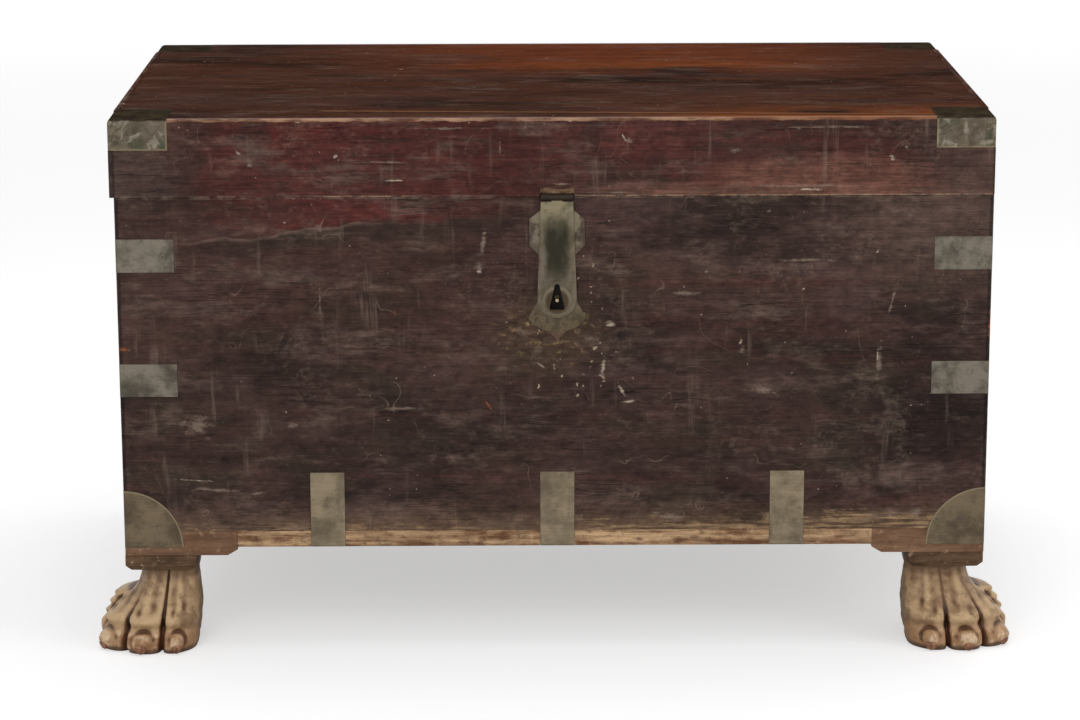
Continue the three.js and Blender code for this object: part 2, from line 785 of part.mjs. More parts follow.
function bottomBoard() {
  const board = roundedBox(left, right, front, back, 0, bottomThickness + overrun + arris, arris, 1)
    .intersect(box(left, right, front, back, 0, bottomThickness));
  const notches = bodyCorners.map((corner) => atPlace(bracketRim(fitGap), corner, 0));
  return cut(board, ...notches, ...bodyRecesses);
}

// Lid

const lidBlock = roundedBox(lidLeft, lidRight, lidFront, lidBack, seamHeight - overrun, lidTop, arris, 1);
const lidRebate = box(lidLeft + lidLand, lidRight - lidLand, lidFront + lidLand, lidBack - lidLand,
  lidTop - lidTopThickness - fitGap, lidTop + overrun);

function lidRail(y) {
  const inner = y - Math.sign(y) * boardThickness;
  const rail = box(lidLeft, lidRight, Math.min(y, inner), Math.max(y, inner), lidFoot, lidTop);
  const sockets = [lidLeft, lidRight].map((x) => tails(x, y, lidFoot, lidTop, lidTails, fitGap));
  return cut(rail.intersect(lidBlock), ...sockets, lidRebate, ...lidRecesses);
}

function lidFrontRail() {
  return cut(lidRail(lidFront), haspLeafSpace());
}

function lidBackRail() {
  const hinges = buttPlaces.map(({ x }) => buttSpace(x, lidFoot - overrun, lidFoot + leafThickness + fitGap));
  return cut(lidRail(lidBack), ...hinges, rearBevel(1));
}

function lidEnd(x) {
  const inner = x - Math.sign(x) * boardThickness;
  const board = box(Math.min(x, inner), Math.max(x, inner), lidFront + boardThickness + fitGap,
    lidBack - boardThickness - fitGap, lidFoot, lidTop);
  const ends = [lidFront, lidBack].map((y) => tails(x, y, lidFoot, lidTop, lidTails, 0));
  return cut(join(board, ...ends).intersect(lidBlock), lidRebate, ...lidRecesses);
}

function lidTopBoard(y0, y1) {
  const board = box(lidLeft + lidLand + fitGap, lidRight - lidLand - fitGap, y0, y1,
    lidTop - lidTopThickness, lidTop);
  return cut(board, ...lidRecesses);
}

// Side handles, drawn for the right side with the board's face at x = 0 and the pivot at z = 0

const bailHalf = lugSpacing / 2 - lugThickness / 2 - bailRadius - bailSideGap;
const bailAxisX = fitGap + bailStandoff;

function roundedRectangle(width, height, radius) {
  const shape = new THREE.Shape();
  const x = width / 2 - radius;
  const y = height / 2 - radius;
  shape.absarc(x, y, radius, 0, Math.PI / 2, false);
  shape.absarc(-x, y, radius, Math.PI / 2, Math.PI, false);
  shape.absarc(-x, -y, radius, Math.PI, 1.5 * Math.PI, false);
  shape.absarc(x, -y, radius, 1.5 * Math.PI, 2 * Math.PI, false);
  return shape;
}

function handlePlate() {
  const plate = prismX(roundedRectangle(handlePlateLength, handlePlateHeight, handlePlateCorner),
    fitGap, fitGap + handlePlateThickness, 4);
  const lug = new THREE.Shape();
  lug.moveTo(fitGap + handlePlateThickness / 2, -lugRadius);
  lug.lineTo(bailAxisX, -lugRadius);
  lug.absarc(bailAxisX, 0, lugRadius, -Math.PI / 2, Math.PI / 2, false);
  lug.lineTo(fitGap + handlePlateThickness / 2, lugRadius);
  const lugs = [-1, 1].map((side) => {
    const middle = side * lugSpacing / 2;
    return prismY(lug, middle - lugThickness / 2, middle + lugThickness / 2);
  });
  const bore = rodY(bailPinRadius + fitGap, -lugSpacing, lugSpacing, bailAxisX, 0, 12);
  return cut(join(plate, ...lugs), bore.intersect(box(fitGap + handlePlateThickness, bailAxisX + lugRadius,
    -lugSpacing, lugSpacing, -lugRadius, lugRadius)));
}

function bail() {
  const path = new THREE.CurvePath();
  const point = (y, z) => new THREE.Vector3(bailAxisX, y, z);
  const turnZ = -bailDrop + bailBend;
  path.add(new THREE.LineCurve3(point(-bailHalf, bailHead), point(-bailHalf, turnZ)));
  path.add(new THREE.QuadraticBezierCurve3(
    point(-bailHalf, turnZ), point(-bailHalf, -bailDrop), point(-bailHalf + bailBend, -bailDrop)));
  path.add(new THREE.LineCurve3(
    point(-bailHalf + bailBend, -bailDrop), point(bailHalf - bailBend, -bailDrop)));
  path.add(new THREE.QuadraticBezierCurve3(
    point(bailHalf - bailBend, -bailDrop), point(bailHalf, -bailDrop), point(bailHalf, turnZ)));
  path.add(new THREE.LineCurve3(point(bailHalf, turnZ), point(bailHalf, bailHead)));
  const section = new THREE.Shape().absarc(0, 0, bailRadius, 0, 2 * Math.PI, false);
  const bar = solid(new THREE.ExtrudeGeometry(section, { steps: 18, extrudePath: path, curveSegments: 4 }));
  const reach = lugSpacing / 2 + lugThickness / 2 + bailPinProud;
  const pins = [-1, 1].map((side) => {
    const ends = [side * bailHalf, side * reach].sort((a, b) => a - b);
    return rodY(bailPinRadius, ...ends, bailAxisX, 0, 12);
  });
  return join(bar, ...pins);
}

// Feet

// A bracket's rim stands under the walls, let into the bottom board's edge
function bracketRim(grow) {
  const reach = bracketReach + grow;
  const inner = boardThickness + grow;
  const outer = grow > 0 ? -overrun : 0;
  const shape = outline([
    [outer, outer], [reach, outer], [reach, inner], [inner, inner], [inner, reach], [outer, reach],
  ]);
  return prismZ(shape, -bracketDrop, bottomThickness + (grow > 0 ? overrun : 0));
}

function footBracket() {
  const plate = prismZ(outline([
    [0, 0], [bracketReach, 0], [bracketReach, bracketThroat], [bracketThroat, bracketReach], [0, bracketReach],
  ]), -bracketDrop, -fitGap);
  const end = [
    [-overrun, -bracketDrop], [bracketReach - bracketChamferRun, -bracketDrop],
    [bracketReach, -bracketDrop + bracketChamferRise], [bracketReach, bottomThickness],
    [-overrun, bottomThickness],
  ];
  const corner = bentCorner(0, bracketReach, arris);
  corner.lineTo(bracketReach, bracketReach);
  return join(plate, bracketRim(0))
    .intersect(prismX(outline(end), 0, bracketReach))
    .intersect(prismY(outline(end), 0, bracketReach))
    .intersect(prismZ(corner, -bracketDrop, bottomThickness, 1))
    .subtract(cornerPlateRecess());
}

const blockTop = footHeight - bracketDrop - fitGap;
const pawHeight = blockTop - blockHeight;
const neckShift = blockWidth / 2 - neckHalfWidth;

// How far the paw reaches at an angle from straight ahead, in degrees, towards its outer side, at a share
// of its height down from the neck: a rounded square leg with a half-round lobe for each toe, joined by
// a web
function pawRadius(angle, share) {
  const turn = THREE.MathUtils.degToRad(angle);
  const half = (neckHalfWidth + (soleHalfWidth - neckHalfWidth) * share) * shareAt(legShares, share);
  const square = Math.abs(Math.sin(turn)) ** neckSquareness + Math.abs(Math.cos(turn)) ** neckSquareness;
  const leg = half / square ** (1 / neckSquareness);
  const lobes = toeReaches.map((reach, i) => ({
    at: firstToeAngle + 2 * i * toeHalfAngle, width: toeHalfAngle, reach, out: shareAt(toeShares, share),
  }));
  lobes.push({
    at: dewclawAngle, width: dewclawHalfAngle, reach: dewclawReach, out: shareAt(dewclawShares, share),
  });
  const innerSide = angle < firstToeAngle;
  const outerSide = angle > dewclawAngle;
  return lobes.reduce((radius, lobe) => {
    const across = (angle - lobe.at) / lobe.width;
    if (Math.abs(across) > 1) {
      return radius;
    }
    const round = Math.sqrt(1 - across ** 2);
    const web = innerSide || outerSide ? webShare * round : webShare;
    return Math.max(radius, leg + (lobe.reach - leg) * lobe.out * (web + (1 - web) * round));
  }, leg);
}

function pawAngles() {
  const step = 2 * toeHalfAngle / stepsPerToe;
  const from = firstToeAngle - toeHalfAngle;
  const toeSteps = Math.ceil((dewclawAngle + dewclawHalfAngle - from) / step);
  const to = from + toeSteps * step;
  const heelStep = (from + fullTurn - to) / heelSteps;
  return [
    ...Array.from({ length: toeSteps }, (_, i) => from + i * step),
    ...Array.from({ length: heelSteps }, (_, i) => to + i * heelStep),
  ];
}

// A paw of a right-hand foot, under the middle of its block, which points its toes along -Y and +X
function paw() {
  const angles = pawAngles();
  const rings = [
    { share: 0, z: pawHeight + blockHeight / 2 },
    ...ringShares.map((share) => ({ share, z: pawHeight * (1 - share) })),
  ];
  const points = rings.flatMap(({ share, z }) => angles.map((angle) => {
    const turn = THREE.MathUtils.degToRad(angle);
    const radius = pawRadius(angle, share);
    const shift = neckShift * (1 - share);
    return [radius * Math.sin(turn) - shift, -radius * Math.cos(turn) + shift, z];
  }));
  const count = angles.length;
  const last = (rings.length - 1) * count;
  const faces = [];
  for (let i = 0; i < count; i += 1) {
    const next = (i + 1) % count;
    for (let ring = 0; ring < last; ring += count) {
      faces.push(ring + i, ring + count + i, ring + next);
      faces.push(ring + next, ring + count + i, ring + count + next);
    }
    faces.push(points.length, i, next, points.length + 1, last + next, last + i);
  }
  points.push([-neckShift, neckShift, rings[0].z], [0, 0, 0]);
  const geometry = new THREE.BufferGeometry();
  geometry.setAttribute('position', new THREE.BufferAttribute(new Float32Array(points.flat()), 3));
  geometry.setIndex(faces);
  const half = blockWidth / 2;
  const side = [
    [-half, pawHeight + blockChamfer], [-half + blockChamfer, pawHeight], [half - blockChamfer, pawHeight],
    [half, pawHeight + blockChamfer], [half, blockTop], [-half, blockTop],
  ];
  const block = prismX(outline(side), -half, half).intersect(prismY(outline(side), -half, half));
  return join(block, solid(geometry));
}

// Assembly

addPiece('front_board', frontBoard(), wood);
addPiece('back_board', backBoard(), wood);
addPiece('left_board', sideBoard(left), wood);
addPiece('right_board', sideBoard(right), wood);
addPiece('bottom_board', bottomBoard(), wornWood);

const lidJoint = lidFront + lidJointFromFront;
addPiece('lid_front_rail', lidFrontRail(), wood);
addPiece('lid_back_rail', lidBackRail(), wood);
addPiece('lid_left_end', lidEnd(lidLeft), wood);
addPiece('lid_right_end', lidEnd(lidRight), wood);
addPiece('lid_top_front_board', lidTopBoard(lidFront + lidLand + fitGap, lidJoint - fitGap / 2), wood);
addPiece('lid_top_rear_board', lidTopBoard(lidJoint + fitGap / 2, lidBack - lidLand - fitGap), wood);

for (const corner of lidCorners) {
  addAtPlace(`lid_cap_${corner.name}`, lidCap(), corner, lidTop, brass);
}
for (const corner of bodyCorners) {
  addAtPlace(`upper_strap_${corner.name}`, cornerStrap(), corner, upperStrapRise, brass);
  addAtPlace(`lower_strap_${corner.name}`, cornerStrap(), corner, lowerStrapRise, brass);
  addAtPlace(`corner_plate_${corner.name}`, cornerPlate(), corner, 0, brass);
}
for (const place of edgeStrapPlaces) {
  addAtPlace(`edge_strap_${place.name}`, edgeStrap(), place, 0, brass);
}

addPiece('lock_plate', lockPlate(), brass);
addPiece('hasp', hasp(), brass);
addPiece('hasp_hinge_leaf', haspHingeLeaf(), brass);
addPiece('hasp_pin', rodX(haspPinRadius, lockOffset - haspTopWidth / 2, lockOffset + haspTopWidth / 2,
  haspAxisY, haspAxisZ, 12), brightBrass);
addPiece('lock_case', lockCase(), brightBrass);
addPiece('lock_bolt', lockBolt(), brightBrass);

for (const { name, x } of buttPlaces) {
  addPiece(`${name}_hinge_lid_leaf`, buttLeaf(x, lidFoot, lidFoot + leafThickness, [0, 2]), brass);
  addPiece(`${name}_hinge_body_leaf`, buttLeaf(x, seamHeight - leafThickness, seamHeight, [1]), brass);
  addPiece(`${name}_hinge_pin`, rodX(buttPinRadius, x - buttLength / 2, x + buttLength / 2,
    buttAxisY, buttAxisZ, 12), brightBrass);
}

const handlePlaces = [
  { name: 'left', x: left, y: 0, turn: Math.PI },
  { name: 'right', x: right, y: 0, turn: 0 },
];
for (const place of handlePlaces) {
  addAtPlace(`${place.name}_handle_plate`, handlePlate(), place, handleRise, brass);
  addAtPlace(`${place.name}_handle_bail`, bail(), place, handleRise, brass);
}

addPiece('till_bottom', tillBottom(), bareWood);
addPiece('till_front', tillFront(), bareWood);
addPiece('till_lid', tillLid(), bareWood);

for (const corner of bodyCorners) {
  addAtPlace(`foot_bracket_${corner.name}`, footBracket(), corner, 0, bareWood);
  const foot = addPiece(`paw_${corner.name}`, paw(), pawWood);
  const inset = blockWidth / 2;
  const sideX = Math.sign(corner.x);
  const sideY = Math.sign(corner.y);
  foot.position.set(corner.x - sideX * inset, corner.y - sideY * inset, -footHeight);
  foot.scale.set(sideX, -sideY, 1);
}

export default chest;
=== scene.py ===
"""An old painted sea chest with let-in brass mounts, a hasp lock and carved paw feet.

Metres, +Z up. X runs along the front, left to right, and the front faces -Y. The origin is on the
floor, under the middle of the chest.
"""

import math
import bmesh
import bpy
import numpy as np
from mathutils import Matrix, Vector


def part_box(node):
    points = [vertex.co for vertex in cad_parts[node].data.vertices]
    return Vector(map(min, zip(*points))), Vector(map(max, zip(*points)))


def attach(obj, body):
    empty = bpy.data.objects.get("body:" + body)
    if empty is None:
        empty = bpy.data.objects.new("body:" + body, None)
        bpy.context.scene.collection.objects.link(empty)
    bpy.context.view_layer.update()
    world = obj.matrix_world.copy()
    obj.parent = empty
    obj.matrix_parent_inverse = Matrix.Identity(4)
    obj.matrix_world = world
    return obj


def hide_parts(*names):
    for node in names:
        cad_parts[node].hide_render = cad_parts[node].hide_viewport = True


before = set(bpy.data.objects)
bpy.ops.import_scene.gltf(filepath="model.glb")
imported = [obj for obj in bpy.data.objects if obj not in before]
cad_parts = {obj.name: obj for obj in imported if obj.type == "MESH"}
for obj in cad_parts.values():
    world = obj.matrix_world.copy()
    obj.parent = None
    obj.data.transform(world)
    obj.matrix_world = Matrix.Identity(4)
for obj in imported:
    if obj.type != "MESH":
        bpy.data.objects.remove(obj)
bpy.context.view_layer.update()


# Camera
# A long lens looks a little down on the front, from just left of the middle.

camera_data = bpy.data.cameras.new("camera")
camera_data.sensor_width = 36
camera_data.lens = 110
camera_data.clip_end = 200
camera = bpy.data.objects.new("camera", camera_data)
bpy.context.scene.collection.objects.link(camera)
bpy.context.scene.camera = camera

pitch, yaw, roll = math.radians(13.536), math.radians(0.444), math.radians(-0.142)
ahead = Vector((math.sin(yaw) * math.cos(pitch), math.cos(yaw) * math.cos(pitch), -math.sin(pitch)))
level = Vector((math.cos(yaw), -math.sin(yaw), 0))
upward = level.cross(ahead)
across = level * math.cos(roll) + upward * math.sin(roll)
above = upward * math.cos(roll) - level * math.sin(roll)
turn = Matrix((across, above, -ahead)).transposed()
camera.matrix_world = Matrix.Translation((-0.0472, -4.1423, 1.2820)) @ turn.to_4x4()

bpy.context.scene.view_settings.view_transform = "Standard"


# Studio
# A pale floor that runs on past the view, a white surround, and three large soft boxes.


class Value:
    """A number, colour or point that changes over a surface. Sums written with it add Math nodes."""

    def __init__(self, finish, socket):
        self.finish, self.socket = finish, socket

    def sum(self, operation, *terms):
        return self.finish.add("ShaderNodeMath", {"operation": operation}, dict(enumerate(terms)))

    def __add__(self, other):
        return self.sum("ADD", self, other)

    def __sub__(self, other):
        return self.sum("SUBTRACT", self, other)

    def __rsub__(self, other):
        return self.sum("SUBTRACT", other, self)

    def __mul__(self, other):
        return self.sum("MULTIPLY", self, other)

    def __pow__(self, other):
        return self.sum("POWER", self, other)

    def __abs__(self):
        return self.sum("ABSOLUTE", self)

    def __or__(self, other):
        return self.sum("MAXIMUM", self, other)

    def __and__(self, other):
        return self.sum("MINIMUM", self, other)

    __radd__, __rmul__ = __add__, __mul__

    def step(self, low, high):
        """0 below low, 1 above high, and a smooth rise between them; low may be the higher one."""
        return self.finish.add(
            "ShaderNodeMapRange",
            {"interpolation_type": "SMOOTHSTEP"},
            {"Value": self, "From Min": low, "From Max": high},
        )


class Finish:
    """The node tree of a material or the world. add puts one node in it and gives one of its outputs."""

    def __init__(self, name, tree=None):
        if tree is None:
            self.material = bpy.data.materials.new(name)
            self.material.use_nodes = True
            tree = self.material.node_tree
            tree.nodes.clear()
        self.tree = tree

    def node(self, kind, settings=None, feeds=None):
        made = self.tree.nodes.new(kind)
        for key, value in (settings or {}).items():
            setattr(made, key, value)
        for key, value in (feeds or {}).items():
            if isinstance(value, Value):
                self.tree.links.new(value.socket, made.inputs[key])
            else:
                made.inputs[key].default_value = value
        return made

    def add(self, kind, settings=None, feeds=None, output=0):
        return Value(self, self.node(kind, settings, feeds).outputs[output])

    def place(self):
        """The point on the surface, in metres."""
        return self.add("ShaderNodeTexCoord", output="Object")

    def axes(self):
        """The point's three coordinates, as values."""
        parts = self.node("ShaderNodeSeparateXYZ", None, {0: self.place()})
        return [Value(self, parts.outputs[i]) for i in range(3)]

    def scaled(self, sizes, turned=(0, 0, 0), centre=(0, 0, 0), point=None):
        """The point measured from a centre, along turned axes, in units of the three sizes or of one."""
        if not isinstance(sizes, tuple):
            sizes = (sizes,) * 3
        return self.add(
            "ShaderNodeMapping",
            {"vector_type": "TEXTURE"},
            {"Vector": point or self.place(), "Location": centre, "Rotation": turned, "Scale": sizes},
        )

    def cloud(self, sizes, detail, rough, turned=(0, 0, 0), warp=0):
        """Noise whose lumps have the given sizes in metres along the three axes, or one size."""
        feeds = {"Scale": 1, "Detail": detail, "Roughness": rough, "Distortion": warp}
        return self.add("ShaderNodeTexNoise", None, {"Vector": self.scaled(sizes, turned), **feeds})

    def ragged(self, size):
        """The point pushed about by fine noise of a size, so that what is drawn with it has rough rims."""
        feeds = {"Vector": self.scaled(size), "Scale": 1}
        noise = self.add("ShaderNodeTexNoise", None, feeds, output="Color")
        push = self.add("ShaderNodeVectorMath", {"operation": "SUBTRACT"}, {0: noise, 1: (0.5, 0.5, 0.5)})
        feeds = {0: push, 1: (1.6 * size,) * 3, 2: self.place()}
        return self.add("ShaderNodeVectorMath", {"operation": "MULTIPLY_ADD"}, feeds)

    def dots(self, pitch, radius, share):
        """Ragged specks of a radius, on a given share of the cells of a loose grid."""
        grid = self.scaled(pitch, point=self.ragged(2 * radius))
        cells = self.node("ShaderNodeTexVoronoi", None, {"Vector": grid, "Scale": 1})
        chance = self.add("ShaderNodeSeparateColor", None, {0: Value(self, cells.outputs["Color"])})
        near = Value(self, cells.outputs["Distance"]).step(radius / pitch, 0.6 * radius / pitch)
        return near * chance.step(1 - share, 1 - 0.9 * share)

    def stroke(self, centre, sizes, angle=0):
        """1 in the middle of an ellipse of the half sizes, turned about Y by an angle in degrees, and
        falling to 0 at its rim."""
        feeds = {"Vector": self.scaled(sizes, (0, math.radians(angle), 0), centre)}
        return self.add("ShaderNodeTexGradient", {"gradient_type": "SPHERICAL"}, feeds, output="Fac")

    def mix(self, share, below, over):
        """The first colour where share is 0, the second where it is 1."""
        return self.add("ShaderNodeMix", {"data_type": "RGBA"}, {0: share, 6: below, 7: over}, output=2)

    def layers(self, colour, *coats):
        """The colour under coats laid on in turn, each a share and a colour."""
        for share, coat in coats:
            colour = self.mix(share, colour, coat)
        return colour

    def shade(self, colour, by):
        """The colour multiplied by a grey value."""
        grey = self.add("ShaderNodeCombineColor", None, {0: by, 1: by, 2: by})
        settings = {"data_type": "RGBA", "blend_type": "MULTIPLY"}
        return self.add("ShaderNodeMix", settings, {0: 1, 6: colour, 7: grey}, output=2)

    def bump(self, height, depth):
        """Surface relief: a height of 1 stands depth metres proud."""
        return self.add("ShaderNodeBump", None, {"Height": height, "Distance": depth})

    def close(self, **feeds):
        """The finished material, with what feeds each input of its shader."""
        feeds = {key.replace("_", " "): value for key, value in feeds.items()}
        shader = self.add("ShaderNodeBsdfPrincipled", None, feeds)
        self.node("ShaderNodeOutputMaterial", None, {"Surface": shader})
        return self.material


def tint(red, green, blue):
    """A colour as it is seen, 0 to 255 a channel, as the linear colour that a shader takes."""
    seen = np.array((red, green, blue)) / 255
    linear = np.where(seen <= 0.04045, seen / 12.92, ((seen + 0.055) / 1.055) ** 2.4)
    return (*map(float, linear), 1)


def surround():
    """A soft grey light from all round that the camera, metal and glass see as white."""
    world = bpy.data.worlds.new("surround")
    world.use_nodes = True
    world.node_tree.nodes.clear()
    sky = Finish("surround", world.node_tree)
    rays = sky.node("ShaderNodeLightPath")
    seen = Value(sky, rays.outputs["Is Camera Ray"])
    seen = seen | Value(sky, rays.outputs["Is Glossy Ray"]) | Value(sky, rays.outputs["Is Transmission Ray"])
    light = sky.add("ShaderNodeBackground", None, {"Color": (1, 1, 1, 1), "Strength": seen * 0.5 + 0.5})
    sky.node("ShaderNodeOutputWorld", None, {"Surface": light})
    bpy.context.scene.world = world


def floor_finish():
    """Pale paper that glows a little for the camera alone, so that it shows white but keeps its shadows.
    The glow grows far off, where the lamps' light fades."""
    paper = Finish("floor_paper")
    rays = paper.node("ShaderNodeLightPath")
    seen = Value(paper, rays.outputs["Is Camera Ray"])
    colour = paper.mix(seen, tint(225, 225, 226), tint(208, 208, 209))
    x, y, _ = paper.axes()
    far = (x * x + y * y).step(4, 36)
    glow = paper.shade(tint(255, 255, 255), seen * (far * 0.3 + 1))
    return paper.close(Base_Color=colour, Roughness=0.9, Emission_Color=glow, Emission_Strength=0.5)


def soft_box(name, place, aim, size, power):
    """A square lamp at a place, turned towards the point it lights."""
    lamp = bpy.data.lights.new(name, "AREA")
    lamp.size, lamp.energy = size, power
    box = bpy.data.objects.new(name, lamp)
    bpy.context.scene.collection.objects.link(box)
    box.location = place
    box.rotation_euler = (Vector(aim) - Vector(place)).to_track_quat("-Z", "Y").to_euler()


surround()
bpy.ops.mesh.primitive_plane_add(size=80)
floor = bpy.context.active_object
floor.name = "floor"
floor.data.materials.append(floor_finish())
soft_box("soft_box_front", (-1.2, -4.0, 2.6), (0, 0, 0.4), 2.5, 55)
soft_box("soft_box_above", (0.3, 0.4, 3.2), (0, 0, 0.4), 2.5, 35)
soft_box("soft_box_right", (3.0, -1.5, 1.8), (0, 0, 0.4), 1.8, 18)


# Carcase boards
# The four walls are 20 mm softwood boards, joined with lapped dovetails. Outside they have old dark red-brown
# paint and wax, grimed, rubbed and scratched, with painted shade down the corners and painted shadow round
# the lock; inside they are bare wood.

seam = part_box("front_board")[1].z
body_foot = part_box("bottom_board")[0].z
lid_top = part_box("lid_top_front_board")[1].z
half_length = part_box("right_board")[1].x
half_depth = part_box("back_board")[1].y
front = -half_depth
board = 0.020
lock_x = 0.003

deep_paint = tint(44, 31, 27)
mid_paint = tint(74, 53, 47)
red_paint = tint(84, 36, 33)
plum_wax = tint(80, 60, 56)
grey_wax = tint(108, 89, 79)
green_grime = tint(56, 46, 37)
scratch_grey = tint(146, 127, 112)
chip_tan = tint(194, 176, 154)
raw_orange = tint(146, 80, 44)
# Painted shadow: the dark brown of the 'dark' marks beside the hasp and under the lock plate.
painted_shadow_brown = tint(40, 29, 23)
bare_inside = tint(124, 96, 68)
bare_streak = tint(88, 64, 43)


def along(direction, length, width):
    """The sizes of a streak that runs along one axis: long that way, narrow the other two."""
    sizes = [width] * 3
    sizes["XYZ".index(direction)] = length
    return tuple(sizes)


def box_edge(finish, limits, width):
    """1 on the edges of a box given by its half sizes and its lowest and highest points, fading over
    a width: the second nearest of the three distances to its faces."""
    x, y, z = finish.axes()
    half_x, half_y, low, high = limits
    near = [
        abs(x).step(half_x - width, half_x - 0.2 * width),
        abs(y).step(half_y - width, half_y - 0.2 * width),
        z.step(high - width, high - 0.2 * width) | z.step(low + width, low + 0.2 * width),
    ]
    return (near[0] & near[1]) | (near[1] & near[2]) | (near[0] & near[2])


def gathered(values):
    """The largest of several values at each point."""
    total = values[0]
    for value in values[1:]:
        total = total | value
    return total


def on_front(x, z, half_width, half_height, angle=0, kind="pale"):
    """A mark on the front, by its place in millimetres: across from the middle, and up from the floor."""
    return kind, (x / 1000, front, z / 1000), (half_width / 1000, 0.05, half_height / 1000), angle


def painted(name, grain, limits, marks=(), glow=None, gloss=0.12, wear=None, streaky=0.24, scuffed=1):
    """Old paint over wood: soft dark and red clouds drawn out along the grain, fine grain streaks, waxy
    smears, random scuffs, dashes, scratches and chips, worn edges, painted shade down the upright corners,
    then the marks given for this board, and bare wood inside. marks holds what on_front takes. glow tints the
    paint before the scuffs, and wear is laid over them; streaky and scuffed say how strong streaks and scuffs
    are."""
    paint = Finish(name)
    x, y, z = paint.axes()
    half_x, half_y, _, high = limits

    cloud = paint.cloud(along(grain, 0.26, 0.09), 5, 0.62)
    hue = paint.cloud(along(grain, 0.14, 0.06), 5, 0.6, warp=0.5)
    band = paint.cloud(along(grain, 0.5, 0.028), 4, 0.55, warp=0.4)
    streak = paint.cloud(along(grain, 0.16, 0.006), 6, 0.75)
    fibre = paint.cloud(along(grain, 0.05, 0.0018), 3, 0.6)
    patch = paint.cloud(0.11, 3, 0.6)
    colour = paint.layers(
        paint.mix(cloud.step(0.36, 0.62), deep_paint, mid_paint),
        (hue.step(0.5, 0.64) * 0.6, plum_wax),
        (hue.step(0.48, 0.34) * 0.65, green_grime),
        (band.step(0.52, 0.74) * streaky, red_paint),
    )
    if glow:
        colour = glow(paint, colour)
    haze = paint.cloud(along(grain, 0.1, 0.032), 8, 0.72, warp=0.15)
    hazy = 0.3 + 0.34 * scuffed
    colour = paint.mix(haze.step(0.5, 0.72) * hazy, colour, grey_wax)
    colour = paint.mix(haze.step(0.46, 0.3) * hazy, colour, deep_paint)
    colour = paint.shade(colour, (streak.step(0.25, 0.72) - 0.5) * streaky * 1.4 + 1)
    line = abs(paint.cloud(along(grain, 0.3, 0.02), 3, 0.6) - 0.5)
    crack = line.step(0.007, 0.001) * paint.cloud(along(grain, 0.1, 0.06), 2, 0.5).step(0.48, 0.58)
    colour = paint.shade(colour, 1 - crack * 0.5)

    speckle = paint.cloud(along(grain, 0.009, 0.006), 5, 0.75)
    mottle = paint.cloud(along(grain, 0.022, 0.013), 6, 0.75, warp=0.3)
    colour = paint.shade(colour, (speckle + mottle * 2 - 1.5) * 1.1 * scuffed + 1)
    ragged = paint.cloud(along(grain, 0.014, 0.006), 5, 0.78)
    fade = paint.cloud(0.04, 3, 0.7).step(0.42, 0.6)
    bloom = (patch * 0.6 + speckle * 0.7).step(0.67, 0.9) * fade
    dashes = paint.cloud(along(grain, 0.03, 0.0018), 3, 0.6).step(0.6, 0.76) * patch.step(0.42, 0.62)
    swirl = abs(paint.cloud(0.08, 2, 0.5, warp=0.6) - 0.5).step(0.004, 0.001)
    swirl = swirl * paint.cloud(0.05, 2, 0.5).step(0.55, 0.66)
    slant = paint.cloud((0.002, 0.002, 0.04), 2, 0.5, (0, 0.22, 0)).step(0.66, 0.8)
    slant = slant * paint.cloud(0.12, 2, 0.5).step(0.5, 0.66)
    run = paint.cloud((0.009, 0.009, 0.1), 3, 0.6).step(0.54, 0.74)
    run = run * paint.cloud((0.05, 0.05, 0.09), 2, 0.5).step(0.5, 0.64)
    scuff = (dashes * 0.26 | slant * 0.3 | bloom * 0.26 | swirl * 0.34 | run * 0.25) * scuffed
    edge = box_edge(paint, limits, 0.0035) * paint.cloud(0.02, 6, 0.75).step(0.44, 0.6)
    colour = paint.layers(colour, (scuff, scratch_grey), (edge * 0.4, scratch_grey))
    # Painted shade: the boards are darkened down their upright corners, as if their rounded arrises were in
    # shadow.
    width = 0.006
    arris = abs(x).step(half_x - width, half_x - width / 2) & abs(y).step(half_y - width, half_y - width / 2)
    colour = paint.shade(colour, 1 - arris * 0.62)
    # The 'dark' marks are painted shadow: thin dark lines beside the hasp and under the lock plate's point,
    # where the raised brass would shade the wood.
    kinds = (
        ("dark", painted_shadow_brown, 0.8),
        ("pale", scratch_grey, 0.6),
        ("white", chip_tan, 0.85),
        ("orange", raw_orange, 0.85),
    )
    for kind, tone, hold in kinds:
        spots = [paint.stroke(*shape) for said, *shape in (on_front(*mark) for mark in marks) if said == kind]
        if spots:
            spots = (gathered(spots) + (ragged - 0.5) * 2.2).step(0.45, 1.05)
            colour = paint.mix(spots * hold, colour, tone)
    chips = paint.dots(0.032, 0.0024, 0.2) | paint.dots(0.011, 0.0012, 0.2)
    chips = chips * paint.cloud(0.16, 2, 0.5).step(0.36, 0.6)
    colour = paint.mix(chips * 0.6, colour, chip_tan)
    colour = paint.shade(colour, fibre.step(0.3, 0.62) * 0.24 + 0.86)
    if wear:
        colour = wear(paint, colour)

    inside = abs(x).step(half_x - board + 0.001, half_x - board + 0.0005)
    inside = inside * abs(y).step(half_y - board + 0.001, half_y - board + 0.0005)
    inside = inside * z.step(high - 0.003, high - 0.004)
    bare = paint.mix(streak.step(0.3, 0.75), bare_streak, bare_inside)
    bare = paint.shade(bare, fibre.step(0.3, 0.6) * 0.25 + 0.85)
    colour = paint.mix(inside, colour, bare)

    sheen = paint.cloud(0.03, 4, 0.6)
    rough = sheen * 0.2 + haze * 0.2 + 0.36 + (scuff | chips) * 0.2 + inside * 0.25
    relief = streak * 0.6 + fibre * 0.25 + haze * 0.3 - (chips + crack) * 0.6
    return paint.close(
        Base_Color=colour, Roughness=rough, Specular_IOR_Level=gloss, Normal=paint.bump(relief, 0.0007)
    )


